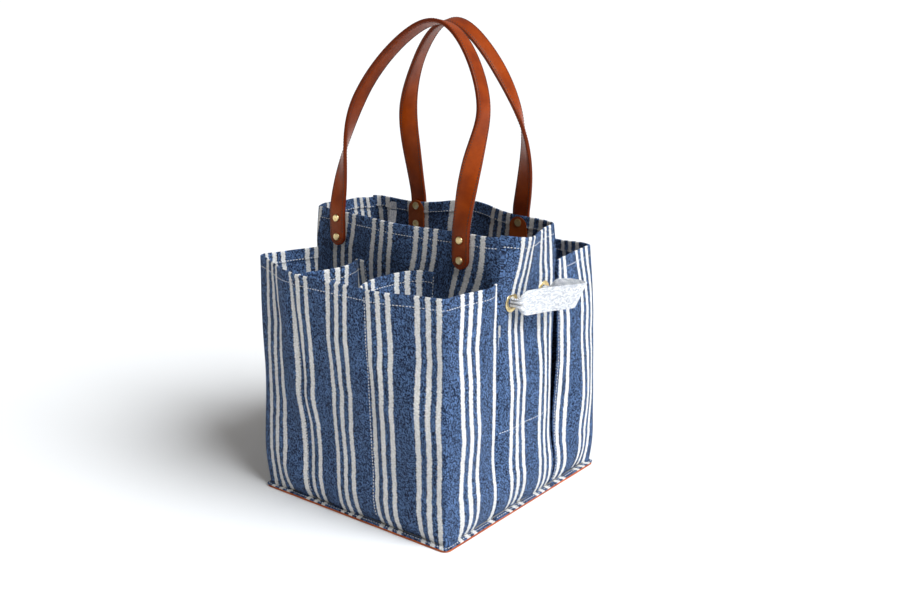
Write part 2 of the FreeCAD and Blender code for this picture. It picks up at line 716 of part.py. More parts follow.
def check_document():
    """Stops at an object that failed, and at a sub-part that isn't whole."""
    for thing in doc.Objects:
        if "Invalid" in thing.State or "Error" in thing.State:
            raise RuntimeError(f"{thing.Name} failed: {thing.State}")
    for thing in nodes:
        shape = thing.Shape
        if shape.isNull() or not shape.isValid() or not shape.Solids:
            raise RuntimeError(f"{thing.Label} has no sound solid")
        print(f"{thing.Label}: {len(shape.Solids)} solid, {shape.Volume / 1000:.2f} cm3")


def write_parts():
    """One STEP file for each sub-part."""
    os.makedirs("parts", exist_ok=True)
    for thing in nodes:
        thing.Shape.exportStep(os.path.join("parts", thing.Label + ".step"))


fill_sheet()
make_base()
for bag_end, half_turn in (("front", 0), ("rear", 180)):
    make_cross_wall(bag_end)
    make_pocket(bag_end, half_turn)
    make_handle_ends(bag_end)
    make_patches(bag_end)
for bag_side, outward in (("right", 1), ("left", -1)):
    make_side_wall(bag_side)
    make_anchors(bag_side, outward)
    make_webbing_loop(bag_side, outward)
make_side_pocket()
make_rivets()
make_grommets()
make_strap("front", FRONT_ARCH)
make_strap("rear", REAR_ARCH)
make_leash()
doc.recompute()
check_document()
write_parts()
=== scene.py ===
"""The looks of a striped canvas tote bag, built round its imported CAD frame. Places are worked out in
millimetres and turned into metres where a mesh is made."""
import math
import random

import bpy
import numpy as np
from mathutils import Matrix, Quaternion, Vector, noise


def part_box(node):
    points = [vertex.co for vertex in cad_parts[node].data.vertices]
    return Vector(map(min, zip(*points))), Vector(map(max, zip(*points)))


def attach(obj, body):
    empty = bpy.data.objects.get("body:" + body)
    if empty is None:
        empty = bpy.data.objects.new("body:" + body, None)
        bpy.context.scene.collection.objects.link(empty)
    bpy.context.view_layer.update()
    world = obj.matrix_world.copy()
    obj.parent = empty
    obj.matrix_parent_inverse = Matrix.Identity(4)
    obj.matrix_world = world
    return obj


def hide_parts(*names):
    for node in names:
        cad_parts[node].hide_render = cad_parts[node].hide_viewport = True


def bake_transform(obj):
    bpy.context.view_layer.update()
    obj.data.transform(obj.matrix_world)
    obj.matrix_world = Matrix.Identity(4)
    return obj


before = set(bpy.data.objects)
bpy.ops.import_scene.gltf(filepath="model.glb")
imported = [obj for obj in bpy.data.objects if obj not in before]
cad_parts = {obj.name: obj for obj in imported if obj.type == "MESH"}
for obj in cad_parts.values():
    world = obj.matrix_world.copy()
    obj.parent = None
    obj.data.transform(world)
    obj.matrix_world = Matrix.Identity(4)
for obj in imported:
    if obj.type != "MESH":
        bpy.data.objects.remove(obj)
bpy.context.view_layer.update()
random.seed(7)

MM = 0.001


# --- sizes from the frame ---


def corners_of(node):
    """A CAD node's lowest and highest corners, in millimetres."""
    low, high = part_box(node)
    return low / MM, high / MM


FLOOR_LOW, FLOOR_HIGH = corners_of("canvas_floor")
WALL_LOW, WALL_HIGH = corners_of("main_front_wall")
POCKET_HIGH = corners_of("front_pocket_panel")[1]
BASE_HIGH = corners_of("leather_base")[1]
TABS = {end: corners_of(f"{end}_handle_ends") for end in ("front", "rear")}
CAPS_HIGH = corners_of("rivet_caps")[1]
GROMMETS_LOW, GROMMETS_HIGH = corners_of("grommets")
SIDE_POCKET_LOW, SIDE_POCKET_HIGH = corners_of("interior_side_pocket")

CANVAS = WALL_HIGH.y - WALL_LOW.y
HALF_WIDE = FLOOR_HIGH.x + CANVAS
HALF_DEEP = FLOOR_HIGH.y + CANVAS
MAIN_Y = -WALL_LOW.y
RIM = WALL_HIGH.z
POCKET_RIM = POCKET_HIGH.z
FLOOR_TOP = FLOOR_HIGH.z
BASE_TOP = BASE_HIGH.z
BASE_LIP = BASE_HIGH.x - HALF_WIDE

CLOTH_THICK = 1.1
SKIN = CLOTH_THICK / 2
HEM = 11
HEM_GAP = 1.35
HEM_TURN = 2.3
STRAP_HALF = 10.0
STRIPE_PERIOD = 50.0
STRIPE_SPACING = 10.8
STRIPE_HALF = 2.55


# --- curves and grids ---


def ease(share):
    """0 to 1, slow at both ends."""
    share = np.clip(share, 0, 1)
    return share * share * (3 - 2 * share)


def distances(line):
    """How far along a line each of its points is."""
    steps = np.linalg.norm(np.diff(line, axis=0), axis=1)
    return np.concatenate(([0], np.cumsum(steps)))


def spaced(line, count):
    """The same line as so many points at even steps."""
    line = np.asarray(line, float)
    way = distances(line)
    places = np.linspace(0, way[-1], count)
    return np.stack([np.interp(places, way, line[:, axis]) for axis in range(line.shape[1])], axis=1)


def through(points, count):
    """A smooth line through points, as so many points at even steps."""
    points = np.asarray(points, float)
    padded = np.vstack((2 * points[0] - points[1], points, 2 * points[-1] - points[-2]))
    fine = []
    for a, b, c, d in zip(padded, padded[1:], padded[2:], padded[3:]):
        for share in np.linspace(0, 1, 17)[:-1]:
            bend = (2 * b + (c - a) * share + (2 * a - 5 * b + 4 * c - d) * share**2)
            fine.append((bend + (3 * b - a - 3 * c + d) * share**3) / 2)
    return spaced(fine + [points[-1]], count)


def spline(poles, count):
    """Points at even steps on the clamped cubic B-spline that control points draw."""
    poles = np.asarray(poles, float)
    spans = len(poles) - 3
    knots = np.concatenate((np.zeros(3), np.linspace(0, 1, spans + 1), np.ones(3)))
    fine = []
    for place in np.linspace(0, 1, 60 * spans):
        span = min(int(place * spans), spans - 1) + 3
        work = poles[span - 3:span + 1].copy()
        for level in range(1, 4):
            for index in range(3, level - 1, -1):
                low, high = knots[span - 3 + index], knots[span + 1 + index - level]
                share = (place - low) / (high - low)
                work[index] = (1 - share) * work[index - 1] + share * work[index]
        fine.append(work[3])
    return spaced(fine, count)


def softened(line, rounds):
    """A line with its corners rounded by averaging neighbours, its ends kept."""
    line = np.array(line, float)
    for _ in range(rounds):
        line[1:-1] = (line[:-2] + 2 * line[1:-1] + line[2:]) / 4
    return line


def outward_normals(line):
    """Level unit normals of a plan line, to the right of its way."""
    way = np.gradient(line, axis=0)
    normals = np.stack((way[:, 1], -way[:, 0]), axis=1)
    return normals / np.linalg.norm(normals, axis=1)[:, None]


def between_levels(levels, heights):
    """Plan lines given at a few heights, as one at each of many heights, smoothly."""
    known = sorted(levels)
    lines = np.array([levels[height] for height in known])
    slopes = np.gradient(lines, known, axis=0)
    made = []
    for height in heights:
        span = int(np.clip(np.searchsorted(known, height) - 1, 0, len(known) - 2))
        reach = known[span + 1] - known[span]
        share = np.clip((height - known[span]) / reach, 0, 1)
        first = ease(share)
        start, finish = lines[span], lines[span + 1]
        lead = share * (1 - share) ** 2 * reach * slopes[span]
        trail = share**2 * (1 - share) * reach * slopes[span + 1]
        made.append(start * (1 - first) + finish * first + lead - trail)
    return np.array(made)


def ripple(across, up, seed, size):
    """A soft uneven wave over a sheet, between about -1 and 1."""
    return noise.noise(Vector((across / size, up / (1.7 * size), seed)))


# --- meshes ---


def add_piece(name, verts, faces, material, uvs=None, uv_name="cloth", sharp=50):
    """A mesh object from points in millimetres, smooth but for its sharp edges, with UVs in metres."""
    mesh = bpy.data.meshes.new(name)
    mesh.from_pydata((np.asarray(verts) * MM).tolist(), [], faces)
    if uvs is not None:
        layer = mesh.uv_layers.new(name=uv_name)
        corner_verts = np.zeros(len(mesh.loops), int)
        mesh.loops.foreach_get("vertex_index", corner_verts)
        layer.data.foreach_set("uv", (np.asarray(uvs, float)[corner_verts] * MM).ravel())
    mesh.shade_smooth()
    mesh.set_sharp_from_angle(angle=math.radians(sharp))
    mesh.materials.append(material)
    piece = bpy.data.objects.new(name, mesh)
    bpy.context.scene.collection.objects.link(piece)
    return piece


def grid_faces(rows, columns, first=0, flip=False, wrap=False):
    """Quads over a grid of points, numbered row by row."""
    faces = []
    for row in range(rows - 1):
        for column in range(columns if wrap else columns - 1):
            a = first + row * columns + column
            b = first + row * columns + (column + 1) % columns
            quad = [a, b, b + columns, a + columns]
            faces.append(quad[::-1] if flip else quad)
    return faces


def closed_faces(rings, count):
    """Faces over rings of points and across both open ends."""
    ends = [list(range(count))[::-1], [(rings - 1) * count + number for number in range(count)]]
    return grid_faces(rings, count, wrap=True) + ends


class Cloth:
    """A sheet as a grid of points: rows run up it and columns across it. Its outer face is on the right of
    the columns' way. Its drift is how far its stripes have wandered at each point."""

    def __init__(self, points, across, along):
        self.points = np.array(points, float)
        self.across = np.array(across, float)
        self.along = np.array(along, float)
        up = np.gradient(self.points, axis=0)
        way = np.gradient(self.points, axis=1)
        normals = np.cross(way, up)
        self.normals = normals / np.maximum(np.linalg.norm(normals, axis=2), 1e-9)[:, :, None]
        self.drift = np.zeros(self.points.shape[:2])

    def at(self, row, column):
        """A point on the sheet and its outward normal, between grid points."""
        rows, columns = self.points.shape[:2]
        row, column = min(max(row, 0), rows - 1.001), min(max(column, 0), columns - 1.001)
        r, c = int(row), int(column)
        u, v = row - r, column - c
        found = []
        for grid in (self.points, self.normals):
            low = grid[r, c] * (1 - v) + grid[r, c + 1] * v
            high = grid[r + 1, c] * (1 - v) + grid[r + 1, c + 1] * v
            found.append(low * (1 - u) + high * u)
        return found[0], found[1] / np.linalg.norm(found[1])

    def row_at(self, along):
        """The fractional row of a distance along the sheet."""
        return float(np.interp(along, self.along, np.arange(len(self.along))))

    def column_at(self, across):
        """The fractional column of a distance across the sheet."""
        return float(np.interp(across, self.across, np.arange(len(self.across))))

    def piece(self, name, material, thick=CLOTH_THICK, uv_name="cloth", stripes_at=0.0):
        """The sheet as a closed mesh of its real thickness, a middle stripe so far across it."""
        rows, columns = self.points.shape[:2]
        outer = (self.points + self.normals * thick / 2).reshape(-1, 3)
        inner = (self.points - self.normals * thick / 2).reshape(-1, 3)
        count = rows * columns
        faces = grid_faces(rows, columns) + grid_faces(rows, columns, first=count, flip=True)
        ring = list(range(columns))
        ring += [r * columns + columns - 1 for r in range(1, rows)]
        ring += [(rows - 1) * columns + c for c in range(columns - 2, -1, -1)]
        ring += [r * columns for r in range(rows - 2, 0, -1)]
        for a, b in zip(ring, ring[1:] + ring[:1]):
            faces.append([b, a, a + count, b + count])
        uv = np.stack(np.meshgrid(self.across, self.along), axis=2)
        uv[:, :, 0] -= self.drift + stripes_at
        uv = uv.reshape(-1, 2)
        return add_piece(name, np.vstack((outer, inner)), faces, material, np.vstack((uv, uv)), uv_name)


# --- stitches ---

STITCH_PITCH = 3.4
STITCH_LONG = 2.6
STITCH_WIDE = 0.8
ROUTE_STEP = 3.0
seams = {}


def stitch(group, start, finish, normal, wide=STITCH_WIDE):
    """One stitch: a small pillow of thread that lies on a surface."""
    way = finish - start
    long = np.linalg.norm(way)
    way = way / long
    side = np.cross(normal, way)
    verts, faces = seams.setdefault(group, ([], []))
    first = len(verts)
    shares = (0.02, 0.2, 0.5, 0.8, 0.98)
    swell = (0.35, 0.85, 1, 0.85, 0.35)
    sink = (-0.5, 0.1, 0.25, 0.1, -0.5)
    for share, size, rise in zip(shares, swell, sink):
        middle = start + way * long * share + normal * rise * wide
        for turn in range(6):
            angle = turn * math.pi / 3
            reach = side * math.cos(angle) + normal * math.sin(angle) * 0.8
            verts.append(middle + reach * size * wide / 2)
    for ring in range(4):
        for turn in range(6):
            a, b = first + ring * 6 + turn, first + ring * 6 + (turn + 1) % 6
            faces.append([a, a + 6, b + 6, b])
    faces.append([first + turn for turn in range(6)])
    faces.append([first + 24 + turn for turn in range(5, -1, -1)])


def sew(group, line, normals, pitch=STITCH_PITCH, long=STITCH_LONG, wide=STITCH_WIDE):
    """A row of stitches along points on a surface."""
    line, normals = np.array(line), np.array(normals)
    way = distances(line)

    def place(at):
        point = np.array([np.interp(at, way, line[:, axis]) for axis in range(3)])
        normal = np.array([np.interp(at, way, normals[:, axis]) for axis in range(3)])
        return point, normal / np.linalg.norm(normal)

    at = pitch / 2
    while at + long < way[-1]:
        start, normal = place(at)
        finish, _ = place(at + long * random.uniform(0.92, 1.06))
        jog = np.cross(normal, finish - start) * random.uniform(-0.05, 0.05)
        stitch(group, start + jog, finish - jog, normal, wide)
        at += pitch


def sew_cloth(group, cloth, route, faces=(1,)):
    """Stitches on a sheet along a route of (across, along) points, on its outer (1) or inner (-1) face."""
    route = np.array(route, float)
    route = spaced(route, max(int(distances(route)[-1] / ROUTE_STEP), 2))
    found = [cloth.at(cloth.row_at(up), cloth.column_at(across)) for across, up in route]
    for face in faces:
        line = [point + normal * face * SKIN for point, normal in found]
        sew(group, line, [normal * face for _, normal in found])


def seam_piece(group, body, material):
    """All stitches of one group as one piece."""
    verts, faces = seams[group]
    piece = add_piece(group, verts, faces, material, sharp=70)
    if body:
        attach(piece, body)
    return piece


# --- shader nodes ---


class Value:
    """A number that a shader works out, for use in sums."""

    def __init__(self, shader, socket):
        self.shader = shader
        self.socket = socket

    def __add__(self, other):
        return self.shader.math("ADD", self, other)

    def __sub__(self, other):
        return self.shader.math("SUBTRACT", self, other)

    def __mul__(self, other):
        return self.shader.math("MULTIPLY", self, other)

    def __abs__(self):
        return self.shader.math("ABSOLUTE", self)

    def cell(self, size):
        """The number of the cell it falls in, where cells are so wide."""
        return self.shader.math("FLOOR", self.shader.math("DIVIDE", self, size))


class Shader:
    """A material's node tree, written as calls. An argument is a number, a colour or what a call gives."""

    def __init__(self, name):
        self.material = bpy.data.materials.new(name)
        self.material.use_nodes = True
        self.tree = self.material.node_tree
        self.surface = self.tree.nodes["Principled BSDF"]

    def node(self, kind, settings=(), **inputs):
        made = self.tree.nodes.new("ShaderNode" + kind)
        for key, value in dict(settings).items():
            setattr(made, key, value)
        for key, value in inputs.items():
            self.give(made.inputs[int(key[1:]) if key[0] == "_" else key.replace("_", " ")], value)
        return made

    def give(self, socket, value):
        value = getattr(value, "socket", value)
        if isinstance(value, bpy.types.NodeSocket):
            self.tree.links.new(value, socket)
        else:
            socket.default_value = value

    def math(self, operation, *values):
        inputs = {f"_{number}": value for number, value in enumerate(values)}
        return Value(self, self.node("Math", {"operation": operation}, **inputs).outputs[0])

    def uv(self, name):
        """A UV layer's two coordinates, in millimetres."""
        layer = self.node("UVMap", {"uv_map": name}).outputs[0]
        parts = self.node("SeparateXYZ", Vector=layer).outputs
        return [self.math("MULTIPLY", part, 1 / MM) for part in parts[:2]]

    def place(self):
        """The place on the object itself."""
        return self.node("TexCoord").outputs["Object"]

    def vector(self, x, y, z=0.0):
        return self.node("CombineXYZ", X=x, Y=y, Z=z).outputs[0]

    def noise(self, vector, scale, detail=2.0, rough=0.5):
        made = self.node("TexNoise", Vector=vector, Scale=scale, Detail=detail, Roughness=rough)
        return Value(self, made.outputs[0])

    def white(self, vector):
        """A different number for each whole-numbered place."""
        return Value(self, self.node("TexWhiteNoise", Vector=vector).outputs["Value"])

    def ramp(self, value, low, high, start=0.0, finish=1.0):
        """A value from one range mapped to another, and held at its ends."""
        made = self.node("MapRange", {"clamp": True}, Value=value)
        for key, number in zip(("From Min", "From Max", "To Min", "To Max"), (low, high, start, finish)):
            made.inputs[key].default_value = number
        return Value(self, made.outputs[0])

    def mix(self, share, first, second):
        """One colour into another."""
        made = self.node("Mix", {"data_type": "RGBA"})
        self.give(made.inputs[0], share)
        self.give(made.inputs[6], first)
        self.give(made.inputs[7], second)
        return made.outputs[2]

    def bump(self, height, distance, strength):
        return self.node("Bump", Height=height, Distance=distance, Strength=strength).outputs[0]

    def finish(self, **sockets):
        for key, value in sockets.items():
            self.give(self.surface.inputs[key.replace("_", " ")], value)
        return self.material


def srgb(red, green, blue):
    """A colour given as it looks on a screen, 0 to 255."""
    parts = [part / 255 for part in (red, green, blue)]
    return tuple(part / 12.92 if part < 0.04 else ((part + 0.055) / 1.055) ** 2.4 for part in parts) + (1.0,)


def canvas_material():
    """Navy yarn-dyed canvas with triples of cream stripes, jagged at their edges, and a twill surface."""
    shader = Shader("striped_canvas")
    across, along = shader.uv("cloth")
    weft = 1.25
    jag = (shader.white(shader.vector(0.0, along.cell(weft))) - 0.5) * 0.9
    tooth = (shader.math("PINGPONG", along, weft) - 0.6) * 0.55
    drift = (shader.noise(shader.vector(across * 0.008, along * 0.016), 1.0) - 0.5) * 6.0
    half = STRIPE_PERIOD / 2
    off = abs(shader.math("WRAP", across + (jag + tooth) + drift, -half, half))
    nearest = shader.math("MINIMUM", off, abs(off - STRIPE_SPACING))
    stripe = shader.ramp(nearest, STRIPE_HALF - 0.2, STRIPE_HALF + 0.2, 1.0, 0.0)

    slant = along + across * 0.6
    cell = shader.white(shader.vector(across.cell(0.95), slant.cell(1.15)))
    blur = shader.noise(shader.vector(across, slant * 1.2), 1.0, 3.0, 0.75)
    fleck = shader.ramp(cell * 0.75 + blur, 0.68, 1.16)
    slub = shader.noise(shader.vector(across * 0.55, along * 0.03), 1.0)
    cloud = shader.noise(shader.place(), 12.0, 3.0)
    navy = shader.mix(fleck, srgb(14, 24, 46), srgb(92, 124, 172))
    navy = shader.mix(shader.ramp(slub, 0.45, 0.7, 0.0, 0.45), navy, srgb(15, 25, 46))
    cream = shader.mix(fleck, srgb(214, 212, 206), srgb(240, 239, 237))
    cream = shader.mix(shader.ramp(slub, 0.5, 0.75, 0.0, 0.4), cream, srgb(206, 204, 200))
    colour = shader.mix(stripe, navy, cream)
    colour = shader.mix(shader.ramp(cloud, 0.35, 0.7, 0.0, 0.14), colour, srgb(62, 72, 96))

    twill = shader.math("SINE", slant * 4.65)
    ribs = shader.math("SINE", across * 6.0)
    height = twill * 0.7 + ribs * 0.3 + fleck * 1.2 + slub * 0.9
    return shader.finish(
        Base_Color=colour,
        Roughness=shader.ramp(fleck, 0.0, 1.0, 0.95, 0.82),
        Normal=shader.bump(height, 0.00016, 0.9),
        Sheen_Weight=0.06,
        Sheen_Roughness=0.5,
        Specular_IOR_Level=0.15,
    )


def thread_material(name, colour, dark):
    """Twisted sewing thread."""
    shader = Shader(name)
    place = shader.place()
    tone = shader.ramp(shader.noise(place, 900.0), 0.35, 0.7)
    bands = {"bands_direction": "DIAGONAL"}
    twist = shader.node("TexWave", bands, Vector=place, Scale=700.0, Distortion=0.6)
    return shader.finish(
        Base_Color=shader.mix(tone, dark, colour),
        Roughness=0.7,
        Sheen_Weight=0.2,
        Normal=shader.bump(twist.outputs[1], 0.0001, 0.5),
    )


def leather_material(name, light, deep, edge, rough, edged=True):
    """Smooth vegetable-tanned leather: fine pores, cloudy dye, and darker burnished edges."""
    shader = Shader(name)
    place = shader.place()
    cloud = shader.noise(place, 38.0, 4.0, 0.6)
    colour = shader.mix(shader.ramp(cloud, 0.34, 0.66), deep, light)
    pores = shader.node("TexVoronoi", {"feature": "DISTANCE_TO_EDGE"}, Vector=place, Scale=1150.0)
    grain = shader.ramp(pores.outputs["Distance"], 0.0, 0.22)
    colour = shader.mix(shader.ramp(grain, 0.0, 1.0, 0.22, 0.0), colour, edge)
    if edged:
        side, _ = shader.uv("strap")
        rim = shader.ramp(abs(side), STRAP_HALF - 1.8, STRAP_HALF - 0.1, 0.0, 0.85)
        colour = shader.mix(rim, colour, edge)
    crease = shader.noise(place, 210.0, 3.0, 0.7)
    return shader.finish(
        Base_Color=colour,
        Roughness=shader.ramp(cloud, 0.3, 0.7, rough + 0.1, rough - 0.04),
        Normal=shader.bump(grain + crease * 1.4, 0.00008, 0.55),
        Coat_Weight=0.08,
        Coat_Roughness=0.22,
        Specular_IOR_Level=0.25,
        Specular_Tint=(1.0, 0.72, 0.42, 1.0),
        Coat_Tint=(1.0, 0.85, 0.65, 1.0),
    )


def webbing_material(name, light, dark):
    """Thick cotton webbing in a coarse herringbone, with ribbed edges. Its grey-blue speckle is partly yarn
    tone and partly painted shade, darker where the weave sits low.
    """
    shader = Shader(name)
    side, along = shader.uv("strap")
    slant = along + shader.math("PINGPONG", side, 3.1)
    rows = shader.math("SINE", slant * 3.6)
    picks = shader.math("SINE", side * 4.4)
    fuzz = shader.noise(shader.vector(side * 1.6, along), 1.0, 3.0, 0.7)
    cell = shader.white(shader.vector(side.cell(1.2), slant.cell(1.7)))
    # painted shade: where the rows, cells and fuzz sit low in the bump, the colour goes towards the
    # grey-blue dark; this is partly yarn tone
    tone = shader.ramp(rows * 0.25 + cell * 0.8 + fuzz, 0.2, 1.25)
    height = rows * 0.5 + picks * 0.22 + fuzz * 0.9 + cell * 0.5
    return shader.finish(
        Base_Color=shader.mix(tone, dark, light),
        Roughness=0.9,
        Sheen_Weight=0.3,
        Specular_IOR_Level=0.15,
        Normal=shader.bump(height, 0.0005, 0.9),
    )


def brass_material():
    """Brushed, lightly tarnished brass."""
    shader = Shader("brass_metal")
    place = shader.place()
    tarnish = shader.noise(place, 130.0, 4.0, 0.6)
    scratch = shader.noise(place, 900.0)
    return shader.finish(
        Base_Color=shader.mix(shader.ramp(tarnish, 0.4, 0.72), srgb(242, 220, 165), srgb(206, 168, 100)),
        Metallic=1.0,
        Roughness=shader.ramp(tarnish, 0.3, 0.75, 0.24, 0.45),
        Normal=shader.bump(scratch, 0.00003, 0.3),
    )


canvas = canvas_material()
cream_thread = thread_material("cream_thread", srgb(242, 242, 240), srgb(205, 205, 205))
brown_thread = thread_material("brown_thread", srgb(44, 20, 10), srgb(22, 9, 5))
handle_leather = leather_material(
    "cognac_leather", srgb(152, 60, 4), srgb(118, 40, 2), srgb(92, 26, 4), 0.33
)
patch_leather = leather_material(
    "patch_leather", srgb(158, 74, 24), srgb(122, 52, 14), srgb(70, 28, 10), 0.38, edged=False
)
base_leather = leather_material(
    "base_leather", srgb(196, 104, 60), srgb(150, 72, 40), srgb(96, 42, 22), 0.5, edged=False
)
# the grey-blue second colour is painted shade in the weave's hollows, partly yarn tone
cotton = webbing_material("cotton_webbing", srgb(250, 250, 250), srgb(158, 166, 182))
brass = brass_material()


# --- canvas panels ---

FOOT_ROWS = (3.1, 4.2, 6, 8.5, 11.5, 15, 19, 23.5, 28, 33, 38, 44, 50)
CREASE = FOOT_ROWS[0]


def wall_heights(foot, rim):
    """Heights of a wall's rows, close together at the foot and the rim."""
    start = [height for height in FOOT_ROWS if height >= foot] or [foot]
    if start[0] > foot:
        start = [foot] + start
    middle = np.arange(start[-1] + 3.2, rim - 13, 3.2)
    return np.concatenate((start, middle, np.linspace(rim - 12, rim, 8)))


def plan(segments, counts, rounds):
    """One plan line from its segments, smooth but for softened corners between them."""
    parts = [through(points, count)[1:] for points, count in zip(segments, counts)]
    return softened(np.vstack((segments[0][0], *parts)), rounds)


def wall_cloth(levels, heights, relief, lift=None, origin=0.0, flange=None, slide=None):
    """A standing canvas panel. Plan lines at a few heights give its form, relief(across, height) moves it
    out, and lift(across) raises its rim. The rim is turned in by the hem, and the foot is turned out to
    flange, a plan line near the base's edge. slide(across, height) moves its stripes sideways."""
    lines = between_levels(levels, heights)
    across = distances(lines[len(lines) // 2]) - origin
    foot, rim = heights[0], heights[-1]
    rows = []
    for line, height in zip(lines, heights):
        normals = outward_normals(line)
        out = np.array([relief(place, height) for place in across])
        level = line + normals * out[:, None]
        raised = np.zeros(len(across))
        if lift is not None:
            raised = np.array([lift(place) for place in across]) * ease((height - foot) / (rim - foot)) ** 3
        rows.append(np.column_stack((level, height + raised)))
    rows = np.array(rows)
    shell = Cloth(rows, across, heights)
    along = list(heights)
    grid = list(rows)
    top, normals = rows[-1], shell.normals[-1]
    up = np.array([0, 0, 1.0])
    centre = top - normals * HEM_GAP / 2
    for step in (1, 2, 3, 4):
        angle = step * math.pi / 5
        grid.append(centre + (normals * math.cos(angle) + up * math.sin(angle)) * HEM_GAP / 2)
        along.append(rim + step * 0.45)
    for drop in (0, 0.25, 0.5, 0.75, 1):
        row = shell.row_at(rim - HEM * drop)
        found = [shell.at(row, column) for column in range(len(across))]
        grid.append(np.array([point - normal * HEM_GAP for point, normal in found]))
        along.append(rim + HEM_TURN + HEM * drop)
    if flange is not None:
        turned = []
        for share in (1, 0.66, 0.33, 0.08):
            point = rows[0].copy()
            point[:, :2] += (flange - point[:, :2]) * share
            point[:, 2] = CREASE - 0.45 * share
            turned.append(point)
        grid = turned + grid
        along = [foot - width for width in (6, 4, 2, 0.6)] + along
    cloth = Cloth(grid, across, along)
    if slide is not None:
        cloth.drift = np.array([[slide(place, min(height, rim)) for place in across] for height in along])
    return cloth


def dents(places):
    """A relief from listed soft dents: across, height, half sizes, and depth, in where negative."""

    def relief(across, height):
        total = 0.0
        for at, up, wide, high, depth in places:
            reach = ((across - at) / wide) ** 2 + ((height - up) / high) ** 2
            total += depth * math.exp(-reach)
        return total

    return relief


def foot_tuck(ends, depth=3.6, swell=4.5):
    """A relief for the foot of a wall: it swells just above the base and turns in under itself, less near
    its corners, which are given as across places."""

    def relief(across, height):
        near = min(abs(across - end) for end in ends)
        share = float(ease(near / 34.0))
        tuck = -depth * max(0.0, 1 - (height - CREASE) / 16.0) ** 2
        bulge = swell * math.exp(-((height - 30.0) / 24.0) ** 2)
        return (tuck + bulge) * share - 0.6

    return relief


def crumple(seed, depth, quiet=()):
    """Soft uneven creasing, quiet near given places across."""

    def relief(across, height):
        calm = 1.0
        for at, wide in quiet:
            calm *= 1 - 0.85 * math.exp(-(((across - at) / wide) ** 2))
        soft = ripple(across, height, seed, 46.0) * depth
        fine = ripple(across, height, seed + 9.0, 17.0) * depth * 0.28
        return (soft + fine) * calm

    return relief


def wander(heights, places, slides):
    """How far stripes wander sideways, given at a few heights and places across."""
    table = np.array(slides, float)

    def slide(across, height):
        row = [np.interp(across, places, line) for line in table]
        return float(np.interp(height, heights, row))

    return slide


def together(*reliefs):
    """Several reliefs at once."""
    return lambda across, height: sum(relief(across, height) for relief in reliefs)


def humps(*places):
    """How far a rim is raised, from soft humps: across, half width, and height, down where negative."""
    return lambda across: sum(rise * math.exp(-(((across - at) / wide) ** 2)) for at, wide, rise in places)


LONG_COUNT = 81
LEG_COUNT = 27
PANEL_COUNTS = (LEG_COUNT, LONG_COUNT, LEG_COUNT)


def chained(*parts):
    """A plan in parts, each of which starts where the one before it ends."""
    joined = [parts[0]]
    for part in parts[1:]:
        joined.append([joined[-1][-1], *part])
    return joined


# pocket panels, seen from above: left leg, long face and right leg, at four heights
POCKET_Y = MAIN_Y + 4.0
WAIST = 120
CHEST = 200


def square_plan(out, bow):
    """A pocket panel's plan with square corners, so far outside the floor, its long face bowed a little."""
    x, y = HALF_WIDE + out, HALF_DEEP + out
    return chained([(-x, -POCKET_Y), (-x, -y)], [(0, -y - bow), (x, -y)], [(x, -POCKET_Y)])


FRONT_POCKET_LEVELS = {
    CREASE: square_plan(-SKIN, 1),
    WAIST: chained(
        [(-119.6, -POCKET_Y), (-121, -90), (-123, -129.5)],
        [(-70, -138), (0, -141), (70, -137.5), (118.4, -130)],
        [(122.5, -108), (124, -88), (122.8, -POCKET_Y)],
    ),
    CHEST: chained(
        [(-119, -POCKET_Y), (-123, -85), (-127, -127)],
        [(-100, -135), (-60, -145.5), (0, -147.5), (60, -142), (118, -128.5)],
        [(120, -108), (124, -86), (123, -POCKET_Y)],
    ),
    POCKET_RIM: chained(
        [(-115, -POCKET_Y), (-120.5, -70), (-130, -98), (-134, -112), (-131, -123)],
        [(-117, -127), (-94, -137), (-69, -146.5), (-50, -150.5), (1, -149.5), (58, -144.5), (90, -135),
         (117.5, -127.5)],
        [(119, -109), (124.5, -86), (127, -70), (123, -POCKET_Y)],
    ),
}
# the rear one is turned half round when it is made
REAR_POCKET_LEVELS = {
    CREASE: square_plan(-SKIN, 1),
    WAIST: chained(
        [(-121.6, -POCKET_Y), (-124, -70), (-127.5, -92), (-127, -112), (-121.5, -131)],
        [(-70, -139), (0, -142), (70, -139), (121, -131)],
        [(123.5, -90), (120.4, -POCKET_Y)],
    ),
    CHEST: chained(
        [(-121.6, -POCKET_Y), (-123.5, -72), (-124, -92), (-118, -129)],
        [(-60, -139), (0, -144), (60, -143), (121, -130)],
        [(124, -86), (121, -POCKET_Y)],
    ),
    POCKET_RIM: chained(
        [(-121.5, -POCKET_Y), (-118, -72), (-116, -97), (-115, -127)],
        [(-93, -133), (-63, -138), (-10, -144), (50, -146), (90, -139), (124, -128)],
        [(127, -108), (124, -80), (121, -POCKET_Y)],
    ),
}


def pocket_cloth(levels, relief, lift, stripe_shift, sign, slide=None):
    """An outer pocket's panel. Its places across are counted from near the middle of its long face."""
    plans = {height: plan(segments, PANEL_COUNTS, 1) * sign for height, segments in levels.items()}
    heights = wall_heights(CREASE, POCKET_RIM)
    lines = between_levels(plans, heights)
    middle = LEG_COUNT + LONG_COUNT // 2
    origin = distances(lines[len(lines) // 2])[middle] + stripe_shift
    lip = plan(square_plan(BASE_LIP - 0.8, 0), PANEL_COUNTS, 2) * sign
    return wall_cloth(plans, heights, relief, lift, origin, lip, slide)


